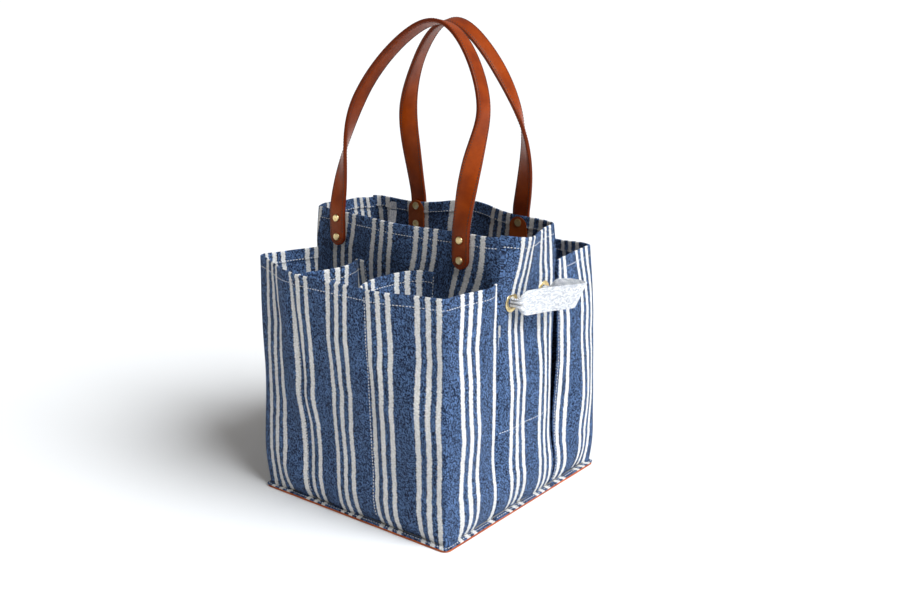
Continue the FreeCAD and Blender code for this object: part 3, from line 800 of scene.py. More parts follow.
FRONT_SHIFT = 3.5
REAR_SHIFT = 5.0
CORNER_ACROSS = 121.0
QUIET_PLACES = ((-CORNER_ACROSS, 14), (CORNER_ACROSS, 12), (-60, 10), (32, 10))
front_relief = together(
    foot_tuck((-CORNER_ACROSS, CORNER_ACROSS)),
    crumple(1.0, 3.4, QUIET_PLACES),
    dents([
        (-60, 120, 5, 130, -3.0),
        (32, 120, 5, 130, -2.4),
        (-121, 55, 18, 50, 4.0),
        (-60, 118, 16, 26, 3.6),
        (-40, 92, 18, 22, -3.0),
        (58, 112, 20, 30, -2.4),
        (82, 150, 18, 30, 2.6),
        (-105, 70, 10, 30, 2.0),
        (-96, 190, 14, 34, -2.2),
        (30, 200, 18, 26, 1.6),
    ]),
)
FRONT_WANDER = wander((10, 75, 130, 190, 245), (-110, -50, 0, 50, 100), (
    (-7, -6, -7.5, -5, -1.5),
    (-6.5, -7.5, -8.5, -6.5, -2.5),
    (-6, -5.5, -6, -5.5, -2),
    (-2, -2.2, -2, -3, -2),
    (0, 4, 2.5, -2.2, -2.2),
))
front_panel = pocket_cloth(
    FRONT_POCKET_LEVELS,
    front_relief,
    humps((-128, 20, 1.8), (40, 40, -0.8)),
    FRONT_SHIFT,
    1,
    FRONT_WANDER,
)
rear_relief = together(
    foot_tuck((-CORNER_ACROSS, CORNER_ACROSS)),
    crumple(4.0, 3.2, QUIET_PLACES),
    dents([
        (-60, 120, 5, 130, -2.6),
        (32, 120, 5, 130, -2.6),
        (-118, 45, 16, 40, 5.0),
        (-45, 120, 18, 28, 3.0),
        (60, 90, 20, 26, -2.8),
        (92, 170, 18, 30, 2.2),
        (-112, 20, 16, 22, 3.0),
        (-100, 200, 14, 34, -2.0),
    ]),
)
rear_panel = pocket_cloth(
    REAR_POCKET_LEVELS,
    rear_relief,
    lambda across: 2.0 * math.exp(-(((across + 118) / 26) ** 2)) + 1.2 * math.sin(across / 34),
    REAR_SHIFT,
    -1,
)

panel_pieces = {
    "front_pocket_panel": front_panel.piece("front_pocket_cloth", canvas),
    "rear_pocket_panel": rear_panel.piece("rear_pocket_cloth", canvas),
}


# the main compartment: four walls that meet at corner seams, their plans given round the bag
SHOULDER = 258
GROMMET_Z = (GROMMETS_LOW.z + GROMMETS_HIGH.z) / 2
WALL_Y = MAIN_Y - 0.6
SEAM_Y = MAIN_Y + 2.6
FRONT_WALL_LEVELS = {
    FLOOR_TOP: [(-117.2, -WALL_Y), (0, -WALL_Y), (115.6, -WALL_Y)],
    GROMMET_Z: [(-117.4, -WALL_Y), (-80, -49.4), (0, -51), (72, -49.4), (115.6, 1.4 - SEAM_Y)],
    SHOULDER: [(-121, -47), (-116, -49), (-86, -49.4), (-45, -52), (0, -53), (40, -51), (76, -49.4),
               (105, -50.5), (121, -49)],
    RIM: [(-121, -43), (-113, -46.5), (-86, -49.2), (-56, -52.5), (-15, -55), (30, -52), (76, -49.2),
          (95, -50), (110, -49), (119, -46)],
}
RIGHT_WALL_LEVELS = {
    CREASE: [(117.2, -SEAM_Y), (119.4, -42), (119.4, 42), (117.4, SEAM_Y)],
    WAIST: [(116.4, -SEAM_Y), (120.6, -43), (123.2, -20), (123.4, 16), (120.8, 43), (116.8, SEAM_Y)],
    GROMMET_Z: [(117.0, -SEAM_Y), (119.4, -41), (119.4, 0), (119.4, 41), (117.4, SEAM_Y)],
    SHOULDER: [(121, -49), (125, -30), (124, 0), (122, 30), (120.5, 49)],
    RIM: [(119, -46), (127, -41.5), (133.5, -33), (136, -18), (129.5, 10), (124, 38)],
}
REAR_WALL_LEVELS = {
    FLOOR_TOP: [(115.6, WALL_Y), (0, WALL_Y), (-117.2, WALL_Y)],
    GROMMET_Z: [(115.8, SEAM_Y - 1.4), (75, 49.4), (10, 53), (-61, 49.4), (-117.4, WALL_Y)],
    SHOULDER: [(120.5, 49), (100, 49.5), (75, 49.4), (40, 53), (5, 55), (-30, 50.5), (-61, 49.4),
               (-95, 49.4), (-119, 48)],
    RIM: [(124, 38), (118, 44), (100, 48.5), (75, 49.2), (50, 53.5), (22, 59), (0, 59.5), (-20, 54),
          (-38, 49.5), (-61, 49.2), (-85, 49.6), (-104, 49), (-114, 46), (-118, 40)],
}
LEFT_WALL_LEVELS = {
    CREASE: [(-119.4, SEAM_Y), (-119.4, -SEAM_Y)],
    WAIST: [(-119, SEAM_Y), (-122.6, 15), (-122, -18), (-119, -SEAM_Y)],
    GROMMET_Z: [(-118.8, SEAM_Y), (-119.4, 38), (-119.4, 0), (-119.4, -38), (-118.8, -SEAM_Y)],
    SHOULDER: [(-119, 48), (-122, 15), (-123, -15), (-121, -47)],
    RIM: [(-118, 40), (-122, 22), (-126, 2), (-127, -22), (-125, -36), (-121, -43)],
}


def main_wall(levels, count, foot, relief, lift, origin, flange=None, slide=None):
    """One wall of the main compartment."""
    plans = {height: plan([points], (count,), 0) for height, points in levels.items()}
    return wall_cloth(plans, wall_heights(foot, RIM), relief, lift, origin, flange, slide)


def calm_at(relief, places):
    """A relief that dies away at places given as across, height and radius, where something is fastened."""

    def calmed(across, height):
        share = 1.0
        for at, up, radius in places:
            near = math.hypot(across - at, height - up) / radius
            share = min(share, float(ease(near - 0.9)))
        return relief(across, height) * share

    return calmed


def handle_places(end):
    """Where a handle's ends are, along X."""
    low, high = TABS[end]
    return low.x + STRAP_HALF, high.x - STRAP_HALF


TAB_MIDDLE = (TABS["front"][0].z + TABS["front"][1].z) / 2
GROMMET_Y = GROMMETS_HIGH.y - (GROMMETS_HIGH.z - GROMMETS_LOW.z) / 2
TAB_CALM = 26
GROMMET_CALM = 17
SIDE_COUNT = 35
LONG_QUIET = ((-119, 10), (119, 10))
SIDE_QUIET = ((-50, 8), (50, 8))
SIDE_FOOT = foot_tuck((-130, 130))

front_wall = main_wall(
    FRONT_WALL_LEVELS, LONG_COUNT, FLOOR_TOP,
    calm_at(crumple(11.0, 2.4, LONG_QUIET), [(x, TAB_MIDDLE, TAB_CALM) for x in handle_places("front")]),
    humps((12, 40, -1.6), (122, 16, 2.5)),
    HALF_WIDE,
    slide=wander((220, 255, RIM), (-120, 60, 80, 110), ((-4, -4, -2, 9), (0, 0, 4, 10), (7, 7, 9, 10))),
)
side_lip = np.column_stack((
    np.full(SIDE_COUNT, HALF_WIDE + BASE_LIP - 0.6),
    np.linspace(-SEAM_Y, SEAM_Y, SIDE_COUNT),
))
grommet_places = [(way * GROMMET_Y, GROMMET_Z, GROMMET_CALM) for way in (-1, 1)]
right_wall = main_wall(
    RIGHT_WALL_LEVELS, SIDE_COUNT, CREASE,
    calm_at(together(SIDE_FOOT, crumple(17.0, 2.6, SIDE_QUIET)), grommet_places),
    humps((-50, 20, 2.5), (6, 26, -2.2)),
    SEAM_Y, side_lip,
    wander((CREASE, RIM), (-53, -47), ((-5, 0), (-5, 0))),
)
rear_wall = main_wall(
    REAR_WALL_LEVELS, LONG_COUNT, FLOOR_TOP,
    calm_at(crumple(23.0, 2.6, LONG_QUIET), [(-x, TAB_MIDDLE, TAB_CALM) for x in handle_places("rear")]),
    humps((-6, 34, 5.0), (66, 40, -3.5)),
    HALF_WIDE,
)
left_wall = main_wall(
    LEFT_WALL_LEVELS, SIDE_COUNT, CREASE,
    calm_at(together(SIDE_FOOT, crumple(29.0, 2.6, SIDE_QUIET)), grommet_places),
    humps((0, 26, -2.0), (-50, 20, -3.0)),
    SEAM_Y, -side_lip,
)
MAIN_WALLS = {"front": front_wall, "right": right_wall, "rear": rear_wall, "left": left_wall}
STRIPES_AT = {"front": 18.5, "right": -15.5, "rear": 1.0, "left": 20.0}
for end, cloth in MAIN_WALLS.items():
    piece = cloth.piece(f"{end}_wall_cloth", canvas, stripes_at=STRIPES_AT[end])
    panel_pieces[f"main_{end}_wall"] = piece


# --- dividers, the inside pocket and the floor ---

# place among the panel's stripes, place along X at the main wall, rim seen from above, and how far that dips
DIVIDERS = (
    (-1.15 * STRIPE_PERIOD, -62, ((-56, -131), (-46, -106), (-44, -85), (-50, -64)), 3.5),
    (0.69 * STRIPE_PERIOD, 22, ((22, -136), (13, -112), (13.5, -83), (19.5, -62)), 0.5),
)
DIVIDER_RIM = POCKET_RIM - 3
DIVIDER_COUNTS = (34, 6)
FLANGE_WIDE = 14
# heights, and how far each has the belly of the rim
DIVIDER_LEVELS = (
    (FLOOR_TOP, 0.0), (40, 0.08), (80, 0.18), (115, 0.3), (150, 0.5), (185, 0.75), (215, 0.92),
    (DIVIDER_RIM, 1.0),
)


def stripe_line(cloth, stripe, height):
    """How far across a panel a place among its stripes has wandered at one height."""
    row = int(round(cloth.row_at(height)))
    return float(np.interp(stripe, cloth.across - cloth.drift[row], cloth.across))


def divider_cloth(panel, wall, number, sign):
    """A web across a pocket: sewn to the panel's inner face, bellied out near its rim, with a flange on the
    main wall."""
    stripe, inner_x, belly, dip = DIVIDERS[number]
    levels = {}
    for height, fullness in DIVIDER_LEVELS:
        point, normal = panel.at(panel.row_at(height), panel.column_at(stripe_line(panel, stripe, height)))
        start = (point - normal * CLOTH_THICK)[:2] * sign
        flange = []
        for place in np.linspace(inner_x, inner_x + FLANGE_WIDE, 4):
            point, normal = wall.at(wall.row_at(height), wall.column_at(place))
            flange.append((point + normal * (CLOTH_THICK + 0.25))[:2] * sign)
        straight = spaced([start, flange[0]], len(belly) + 2)
        curve = [start]
        for place, level_place in zip(belly, straight[1:-1]):
            curve.append(level_place * (1 - fullness) + np.array(place) * fullness)
        curve.append(flange[0])
        levels[height] = plan([curve, flange], DIVIDER_COUNTS, 1) * sign
    relief = crumple(31.0 + 7 * number + sign, 1.4, ((0, 14), (104, 30)))
    heights = wall_heights(FLOOR_TOP, DIVIDER_RIM)
    return wall_cloth(levels, heights, relief, lambda across: -dip * ease((across - 70) / 40))


DIVIDER_STRIPES_AT = (96, 76)
dividers = {}
for end, panel, wall, sign in (("front", front_panel, front_wall, 1), ("rear", rear_panel, rear_wall, -1)):
    for number, stripes_at in enumerate(DIVIDER_STRIPES_AT):
        cloth = divider_cloth(panel, wall, number, sign)
        node = f"{end}_pocket_divider_{number + 1}"
        dividers[node] = cloth
        name = f"{end}_divider_{number + 1}_cloth"
        panel_pieces[node] = cloth.piece(name, canvas, stripes_at=stripes_at)

POUCH_HALF = (SIDE_POCKET_HIGH.y - SIDE_POCKET_LOW.y) / 2
POUCH_DEEP = SIDE_POCKET_HIGH.x - SIDE_POCKET_LOW.x
POUCH_FOOT = SIDE_POCKET_LOW.z
POUCH_RIM = SIDE_POCKET_HIGH.z


def pouch_cloth():
    """The pocket inside the right wall, sewn down at both sides and standing off a little at its rim."""
    wall = HALF_WIDE - CANVAS - 0.4
    side = POUCH_HALF - 1
    levels = {}
    for height, deep in ((POUCH_FOOT, 0.4), (POUCH_FOOT + 14, 0.75), (160, 0.95), (POUCH_RIM, 1.0)):
        out = wall - POUCH_DEEP * deep + 1
        half = [(wall, side), (wall - 1.2, side - 2), (out, side - 9)]
        other_half = [(x, -y) for x, y in reversed(half)]
        levels[height] = plan([[*half, (out - 0.5, 0), *other_half]], (SIDE_COUNT,), 0)
    heights = np.linspace(POUCH_FOOT, POUCH_RIM, 34)
    return wall_cloth(levels, heights, crumple(41.0, 0.8, ((-47, 12), (47, 12))), origin=POUCH_HALF)


pouch = pouch_cloth()
panel_pieces["interior_side_pocket"] = pouch.piece("inside_pocket_cloth", canvas)

FLOOR_INSET = 0.8
floor_x = np.linspace(FLOOR_LOW.x + FLOOR_INSET, FLOOR_HIGH.x - FLOOR_INSET, 60)
floor_y = np.linspace(FLOOR_LOW.y + FLOOR_INSET, FLOOR_HIGH.y - FLOOR_INSET, 66)
floor_middle = FLOOR_TOP - SKIN
floor_rows = [[(x, y, floor_middle + 0.35 * ripple(x, y, 51.0, 30.0)) for x in floor_x] for y in floor_y]
floor_cloth = Cloth(floor_rows, floor_x, floor_y)
panel_pieces["canvas_floor"] = floor_cloth.piece("floor_cloth", canvas)


# --- what the canvas pieces ride on, replace and are cut from ---


def flat_size(cloth):
    """A panel's cut: its longest row by its height with its hems, and its flat area, in metres."""
    rows = np.linalg.norm(np.diff(cloth.points, axis=1), axis=2).sum(axis=1)
    wide = float(rows.max()) * MM
    high = float(cloth.along[-1] - cloth.along[0]) * MM
    return (wide, high), float(rows.mean()) * MM * high


HOLDERS = {
    "front_pocket_panel": (front_panel, "leather_base"),
    "rear_pocket_panel": (rear_panel, "leather_base"),
    "main_front_wall": (front_wall, "canvas_floor"),
    "main_rear_wall": (rear_wall, "canvas_floor"),
    "main_right_wall": (right_wall, "leather_base"),
    "main_left_wall": (left_wall, "leather_base"),
    "interior_side_pocket": (pouch, "main_right_wall"),
    "canvas_floor": (floor_cloth, "base_stiffener"),
}
for node, cloth in dividers.items():
    HOLDERS[node] = (cloth, "canvas_floor")
for node, (cloth, holder) in HOLDERS.items():
    piece = panel_pieces[node]
    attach(piece, "bag")
    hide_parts(node)
    size, area = flat_size(cloth)
    held = "laid" if node == "canvas_floor" else "stretched"


# --- canvas seams ---

HEM_LINE = HEM - 1.3
FOOT_LINE = CREASE - 4.0


def level_seam(group, cloth, height, inset=2):
    """A row of stitches along a sheet at one distance up it."""
    ends = cloth.across[0] + inset, cloth.across[-1] - inset
    sew_cloth(group, cloth, [(across, height) for across in ends])


def hem_seam(group, cloth, rim, inset=2):
    """A hem's stitches, as they show on the sheet's outer face and on the hem turned in behind it."""
    level_seam(group, cloth, rim - HEM_LINE, inset)
    level_seam(group, cloth, rim + HEM_TURN + HEM_LINE, inset)


for cloth in (front_panel, rear_panel):
    hem_seam("pocket_hem_stitches", cloth, POCKET_RIM)
    level_seam("foot_stitches", cloth, FOOT_LINE)
    for stripe, *_ in DIVIDERS:
        route = [(stripe_line(cloth, stripe, height), height) for height in np.arange(12, POCKET_RIM, 6)]
        sew_cloth("pocket_seam_stitches", cloth, route)
    for across in (cloth.across[0] + 2.2, cloth.across[-1] - 2.2):
        sew_cloth("pocket_seam_stitches", cloth, [(across, 6), (across, POCKET_RIM - 1)])
for cloth in MAIN_WALLS.values():
    hem_seam("main_hem_stitches", cloth, RIM, 1)
for cloth in (right_wall, left_wall):
    level_seam("foot_stitches", cloth, FOOT_LINE)
for cloth in dividers.values():
    hem_seam("divider_stitches", cloth, DIVIDER_RIM)
    across = cloth.across[-1] - 3
    sew_cloth("divider_stitches", cloth, [(across, 12), (across, DIVIDER_RIM - 1)], (1, -1))
level_seam("inside_pocket_stitches", pouch, POUCH_RIM - HEM_LINE)
pouch_seam = [(across, POUCH_FOOT + 1) for across in (1 - POUCH_HALF, POUCH_HALF - 1)]
sew_cloth("inside_pocket_stitches", right_wall, pouch_seam)
for group in ("pocket_hem", "foot", "pocket_seam", "main_hem", "divider", "inside_pocket"):
    seam_piece(f"{group}_stitches", "bag", cream_thread)


# --- the leather base ---

BASE_CORNER = 8.0
# how far inside the edge, and how high, from under the base round its edge to its top
BASE_PROFILE = (
    (8, 0.0), (0.9, 0.0), (0.25, 0.25), (0.0, 0.8), (0.05, 1.3), (0.35, 1.75), (1.0, BASE_TOP),
    (8, BASE_TOP),
)


def base_piece():
    """The leather base: a plate with softly rounded edges, its edge a little uneven."""
    wide, deep = BASE_HIGH.x - BASE_CORNER, BASE_HIGH.y - BASE_CORNER
    outline, normals = [], []
    for corner, (sx, sy) in enumerate(((1, 1), (-1, 1), (-1, -1), (1, -1))):
        for step in range(9):
            angle = (corner + step / 8) * math.pi / 2
            x, y = math.cos(angle), math.sin(angle)
            normals.append((x, y))
            outline.append((sx * wide + BASE_CORNER * x, sy * deep + BASE_CORNER * y))
    outline, normals = np.array(outline), np.array(normals)
    line, out = [], []
    for here, (point, following) in enumerate(zip(outline, np.roll(outline, -1, axis=0))):
        steps = max(int(math.dist(point, following) / 4), 1)
        next_normal = normals[(here + 1) % len(normals)]
        for share in np.arange(steps) / steps:
            line.append(point * (1 - share) + following * share)
            out.append(normals[here] * (1 - share) + next_normal * share)
    line, out = np.array(line), np.array(out)
    wave = np.array([0.25 * ripple(x, y, 61.0, 22.0) - 0.2 for x, y in line])
    verts = []
    for inset, height in BASE_PROFILE:
        edge = line + out * (wave - inset)[:, None]
        verts.append(np.column_stack((edge, np.full(len(edge), height))))
    faces = closed_faces(len(BASE_PROFILE), len(line))
    return add_piece("base_leather_plate", np.vstack(verts), faces, base_leather)


base = base_piece()
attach(base, "bag")
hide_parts("leather_base")


# --- straps ---


class Strap:
    """A strap's route: centre points with unit vectors across it and out of its face at each."""

    def __init__(self, centre, across):
        self.centre = np.array(centre, float)
        way = np.gradient(self.centre, axis=0)
        way /= np.linalg.norm(way, axis=1)[:, None]
        across = np.array(across, float)
        across -= way * (across * way).sum(axis=1)[:, None]
        self.across = across / np.linalg.norm(across, axis=1)[:, None]
        self.out = np.cross(self.across, way)
        self.way = distances(self.centre)

    def at(self, along, side, out):
        """A point so far along the strap, to its side and out of its middle."""
        parts = []
        for line in (self.centre, self.across, self.out):
            parts.append(np.array([np.interp(along, self.way, line[:, axis]) for axis in range(3)]))
        return parts[0] + parts[1] * side + parts[2] * out, parts[2]


STRAP_THICK = TABS["front"][1].y - TABS["front"][0].y
STRAP_LEAN = math.radians(10.1)
FOLD_Z = RIM + 2
FOLD_Y = MAIN_Y + STRAP_THICK / 2
TAB_FOOT = TABS["front"][0].z
STITCH_LINE = STRAP_HALF - 2.1
# a handle's stitches: pitch, length and width
HANDLE_STITCH = (3.0, 2.1, 0.9)
# how much thinner a strap is at its edges
CROWN = 0.1
# control points of the handle arches between their ends: along X, above the fold line
ARCHES = {
    "front": ((-85, 53), (-83, 115), (-12, 192), (44, 204), (103, 109), (77, 78)),
    "rear": ((-62.5, 62), (-70, 105), (-7, 206), (41.5, 187), (88.5, 110), (91, 62.5)),
}
TWISTS = {"front": 0.25, "rear": 0.36}
ARCH_START = 3.2 * math.cos(STRAP_LEAN)
# rows close together where a riveted end is rounded, and how many rows stay quite straight
TAB_STEPS = (0.12, 0.5, 1.1, 2.0, 3.2, 4.8, 6.6, 8.4, 10.2)
STRAIGHT = 12


def handle_route(end):
    """A handle from one riveted end to the other: up the wall, over the fold and along its arch."""
    sign = -1 if end == "front" else 1
    left_x, right_x = handle_places(end)
    up = np.array((0, -sign * math.sin(STRAP_LEAN), math.cos(STRAP_LEAN)))
    out = np.array((0, sign * math.cos(STRAP_LEAN), math.sin(STRAP_LEAN)))
    fold = np.array((0, sign * FOLD_Y, FOLD_Z))
    right = np.array((1.0, 0, 0))
    places = ((left_x, ARCH_START), *ARCHES[end], (right_x, ARCH_START))
    arch = spline([fold + right * x + up * rise / math.cos(STRAP_LEAN) for x, rise in places], 190)
    last = len(arch) - 1
    way = np.gradient(arch, axis=0)
    way /= np.linalg.norm(way, axis=1)[:, None]
    across = []
    for number in range(len(arch)):
        inward = right * (way[number] @ up) - up * way[number][0]
        quarter = ease(min(number, last - number) / last / TWISTS[end]) * math.pi / 2
        across.append(inward * math.cos(quarter) + out * math.sin(quarter))
    tab = [TAB_FOOT + step for step in TAB_STEPS] + list(np.arange(TAB_FOOT + 13, RIM + 1, 3.0))
    left = [(left_x, sign * FOLD_Y, height) for height in tab]
    back = [(right_x, sign * FOLD_Y, height) for height in reversed(tab)]
    centre = softened(np.vstack((left, arch, back)), 3)
    centre[:STRAIGHT], centre[-STRAIGHT:] = left[:STRAIGHT], back[-STRAIGHT:]
    vectors = [right] * len(left) + across + [-right] * len(back)
    return Strap(centre, softened(vectors, 3))


def strap_section():
    """A strap's cross-section, right round: two layers with a seam between, rounded corners, a slight crown,
    and a groove under each row of stitches."""
    face = []
    for side in (-9.0, -8.4, -STITCH_LINE, -7.3, -5, -2.5, 0, 2.5, 5, 7.3, STITCH_LINE, 8.4, 9.0):
        rise = STRAP_THICK / 2 * (1 - CROWN * (side / STRAP_HALF) ** 2)
        face.append((side, rise - (0.2 if abs(side) == STITCH_LINE else 0.0)))
    edge = [(9.6, 1.45), (9.92, 1.0), (9.98, 0.5), (9.72, 0.0), (9.98, -0.5), (9.92, -1.0), (9.6, -1.45)]
    under = [(side, -rise) for side, rise in reversed(face)]
    other_edge = [(-side, -rise) for side, rise in edge]
    return face + edge + under + other_edge


def handle_piece(end):
    """One leather handle with its riveted ends, and its two rows of stitches on both faces."""
    strap = handle_route(end)
    section = strap_section()
    total = strap.way[-1]
    verts, uvs = [], []
    for along, middle, across, out in zip(strap.way, strap.centre, strap.across, strap.out):
        near = min(along, total - along) + 0.12
        round_off = math.sqrt(max(1 - (1 - min(near / STRAP_HALF, 1)) ** 2, 0.0))
        for side, rise in section:
            verts.append(middle + across * side * round_off + out * rise)
            uvs.append((side, along))
    faces = closed_faces(len(strap.way), len(section))
    piece = add_piece(f"{end}_handle_leather", verts, faces, handle_leather, uvs, "strap", sharp=60)

    surface = STRAP_THICK / 2 * (1 - CROWN * (STITCH_LINE / STRAP_HALF) ** 2) - 0.12
    ring = []
    for angle in np.linspace(0, math.pi, 25):
        ring.append((STRAP_HALF - STITCH_LINE * math.sin(angle), STITCH_LINE * math.cos(angle)))
    straight = np.arange(STRAP_HALF + 3, total - STRAP_HALF - 2, 3.0)
    route = ring + [(along, -STITCH_LINE) for along in straight]
    route += [(total - along, -side) for along, side in ring]
    route += [(along, STITCH_LINE) for along in reversed(straight)]
    for face in (1, -1):
        found = [strap.at(along, side, surface * face) for along, side in route]
        line, normals = [point for point, _ in found], [normal * face for _, normal in found]
        sew(f"{end}_handle_stitches", line, normals, *HANDLE_STITCH)
    return piece


for end in ("front", "rear"):
    sign = -1 if end == "front" else 1
    leather = handle_piece(end)
    thread = seam_piece(f"{end}_handle_stitches", None, brown_thread)
    low, high = (Vector((0, sign * FOLD_Y, height)) * MM for height in (CAPS_HIGH.z, FOLD_Z + 5))
    for piece in (leather, thread):
        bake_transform(piece)
    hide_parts(f"{end}_handle_strap", f"{end}_handle_ends")


# --- webbing side handles ---

WEBBING_HALF = 12.5
WEBBING_THICK = 1.8
PINCH_HALF = 4.4
SWING_OUT = GROMMETS_HIGH.x + 5.3
# control points of a loop seen from above: out from its swing line, and along Y
WEBBING_PLAN = ((7, -24), (11, -8), (20, 10), (28, 22), (36, 39), (23, 37), (13, 31), (6, 28))
# the end stopped inside the wall, folded three times: out from the swing line, and along Y from its grommet
STOP_PLAN = (
    (-17, -7.5), (-17, 6), (-16.4, 9.6), (-14.6, 9.6), (-14.6, 2), (-14.6, -7), (-13.6, -9.6), (-12, -9.4),
    (-11.8, -4), (-11.6, -0.6), (-9.5, 0), (-5, 0), (-1, 0), (2.5, 0),
)


def webbing_piece(side):
    """A webbing handle: folded and stopped inside, gathered through its two grommets, and open flat between.
    Its far fold leans out at the top, and the part that comes back rides a little higher."""
    sign = 1 if side == "right" else -1
    front = [(out, -GROMMET_Y + back) for out, back in STOP_PLAN]
    rear = [(out, GROMMET_Y - back) for out, back in reversed(STOP_PLAN)]
    poles = front + list(WEBBING_PLAN) + rear
    route = spline([(sign * (SWING_OUT + out), back) for out, back in poles], 230)
    outs = sign * route[:, 0] - SWING_OUT
    fold = int(np.argmax(outs))
    normals = outward_normals(route)
    shares = np.linspace(-1, 1, 21)
    rows = []
    for number, (point, normal, out) in enumerate(zip(route, normals, outs)):
        inside = ease((-9.5 - out) / 4.0)
        opened = max(float(ease((out - 0.5) / 7.5)), 0.8 * float(inside))
        half = PINCH_HALF + (WEBBING_HALF - PINCH_HALF) * opened
        pleat = 1.7 * (1 - opened)
        hollow = 6.0 * opened * (1 - opened)
        loose = float(ease(out / 26.0))
        lift = 6.0 * loose * float(ease((number - fold) / 40.0))
        row = []
        for share in shares:
            wave = pleat * math.sin(2.5 * math.pi * share) + hollow * (1 - share * share)
            lean = 1 + 0.12 * share * loose
            x = sign * SWING_OUT + (point[0] - sign * SWING_OUT) * lean + normal[0] * wave
            row.append((x, point[1] * lean + normal[1] * wave, GROMMET_Z + half * share + lift))
        rows.append(row)
    cloth = Cloth(rows, shares * WEBBING_HALF, distances(route))
    return cloth.piece(f"{side}_webbing_tape", cotton, WEBBING_THICK, "strap")


for side in ("right", "left"):
    sign = 1 if side == "right" else -1
    tape = webbing_piece(side)
    near, far = (Vector((sign * (SWING_OUT + out), 0, GROMMET_Z)) * MM for out in (-3.5, 4))
    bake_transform(tape)
    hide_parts(f"{side}_webbing_loop", f"{side}_webbing_anchors")


# --- key leash ---

LEASH_LEAN = math.radians(14)
LEASH_HALF = 4.9
LEASH_THICK = 1.0
TAB_LOW, TAB_HIGH = corners_of("key_leash_tab")
TAPE_LOW, TAPE_HIGH = corners_of("key_leash_tape")
LEASH_X = (TAB_LOW.x + TAB_HIGH.x) / 2


def tape_cloth(points):
    """A narrow flat tape whose middle goes through points given along Y and Z."""
    route = through(points, 34)
    sides = np.linspace(-LEASH_HALF, LEASH_HALF, 9)
    return Cloth([[(LEASH_X + side, y, z) for side in sides] for y, z in route], sides, distances(route))


def leash_pieces():
    """The sewn tab, and the hanging tape that folds through the clasp's eye."""
    tab_y = (TAB_LOW.y + TAB_HIGH.y) / 2
    tab = tape_cloth([(tab_y + 0.1, TAB_HIGH.z), (tab_y, TAB_HIGH.z - 3), (tab_y, TAB_LOW.z - 0.4)])
    down = np.array((-math.sin(LEASH_LEAN), -math.cos(LEASH_LEAN)))
    out = np.array((-down[1], down[0]))
    top = np.array((tab_y, TAB_LOW.z - 1.6))
    long = (TAPE_HIGH.z - TAPE_LOW.z) / math.cos(LEASH_LEAN)
    # down the tape and out of its middle: to the fold in the clasp's eye and back up behind
    route = (
        (0, 0.1), (12, 0.4), (26, 0.9), (long - 3, 1.5), (long + 1.8, 0),
        (long - 3, -1.5), (30, -0.9), (22, -0.6),
    )
    return tab, tape_cloth([top + down * drop + out * aside for drop, aside in route])


tab_cloth, hanging_cloth = leash_pieces()
for cloth, name, node, body in (
    (tab_cloth, "leash_tab_tape", "key_leash_tab", "bag"),
    (hanging_cloth, "leash_tape", "key_leash_tape", "key_leash"),
):
    piece = cloth.piece(name, cotton, LEASH_THICK, "strap")
    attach(piece, body)
    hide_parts(node)


# --- CAD nodes that keep their shape ---


def board_material():
    """Grey fibreboard."""
    shader = Shader("grey_board")
    fibres = shader.noise(shader.place(), 420.0, 4.0, 0.7)
    return shader.finish(
        Base_Color=shader.mix(fibres, srgb(120, 116, 108), srgb(150, 146, 138)),
        Roughness=0.95,
        Normal=shader.bump(fibres, 0.0001, 0.5),
    )


def dress(node, material):
    """Gives a CAD node a better material."""
    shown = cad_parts[node]
    for number in range(max(len(shown.material_slots), 1)):
        if shown.material_slots:
            shown.material_slots[number].material = material
        else:
            shown.data.materials.append(material)
    return shown


def round_edges(shown, radius):
    """Softens a CAD node's sharp edges."""
    bevel = shown.modifiers.new("soft_edges", "BEVEL")
    bevel.width = radius * MM
    bevel.segments = 3
    bevel.limit_method = "ANGLE"
    bevel.angle_limit = math.radians(40)


BRASS_NODES = (
    "rivet_caps", "rivet_posts", "grommets", "grommet_washers", "clasp_eye", "clasp_hook", "clasp_gate",
)
dress("base_stiffener", board_material())
for node in BRASS_NODES:
    dress(node, brass)
for end in ("front", "rear"):
    round_edges(dress(f"{end}_handle_patches", patch_leather), 0.55)


# --- floor, light and camera ---

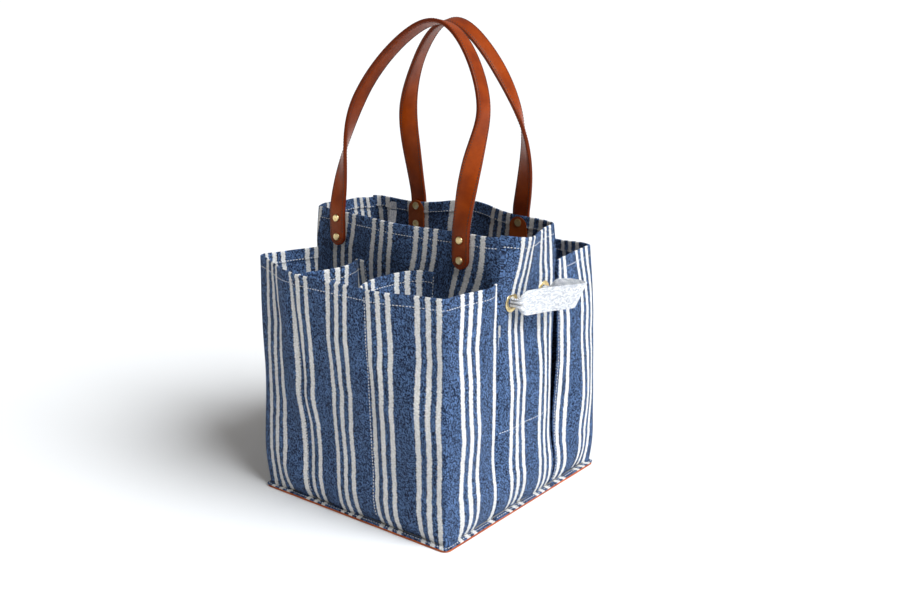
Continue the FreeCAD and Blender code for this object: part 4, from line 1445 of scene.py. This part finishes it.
SKY_STRENGTH = 0.235
SKY_COLOUR = (1.0, 0.97, 0.93, 1.0)
KEY_TOWARDS = Vector((0.74, 0.05, 0.67))
KEY_STRENGTH = 4.7
KEY_SPREAD = math.radians(44.0)
KEY_COLOUR = (0.93, 0.965, 1.0)


def studio():
    """A wide pale floor, soft light from the bag's right and above, and an even pale sky."""
    bpy.ops.mesh.primitive_circle_add(vertices=128, radius=60.0, fill_type="NGON")
    ground = bpy.context.object
    ground.name = "studio_floor"
    shader = Shader("pale_floor")
    ground.data.materials.append(shader.finish(Base_Color=(0.95, 0.95, 0.95, 1.0), Roughness=0.9))
    world = bpy.data.worlds.new("sky")
    bpy.context.scene.world = world
    world.use_nodes = True
    sky = world.node_tree.nodes["Background"]
    sky.inputs["Color"].default_value = SKY_COLOUR
    sky.inputs["Strength"].default_value = SKY_STRENGTH
    lamp = bpy.data.lights.new("key_light", "SUN")
    lamp.energy = KEY_STRENGTH
    lamp.color = KEY_COLOUR
    lamp.angle = KEY_SPREAD
    shown = bpy.data.objects.new("key_light", lamp)
    bpy.context.scene.collection.objects.link(shown)
    shown.rotation_mode = "QUATERNION"
    shown.rotation_quaternion = KEY_TOWARDS.to_track_quat("Z", "Y")


CAMERA_PLACE = Vector((749.97, -934.82, 552.23)) * MM
CAMERA_AIM = Vector((14.2, 11.0, 200.0)) * MM
CAMERA_ROLL = math.radians(0.12)
CAMERA_LENS = 47.28


def camera():
    """The camera, at the front right corner and a little above."""
    lens = bpy.data.cameras.new("camera")
    lens.lens = CAMERA_LENS
    lens.clip_end = 200.0
    made = bpy.data.objects.new("camera", lens)
    bpy.context.scene.collection.objects.link(made)
    made.location = CAMERA_PLACE
    made.rotation_mode = "QUATERNION"
    aim = (CAMERA_AIM - CAMERA_PLACE).to_track_quat("-Z", "Y")
    made.rotation_quaternion = aim @ Quaternion((0, 0, 1), CAMERA_ROLL)
    bpy.context.scene.camera = made


studio()
camera()
bpy.context.scene.view_settings.view_transform = "Standard"
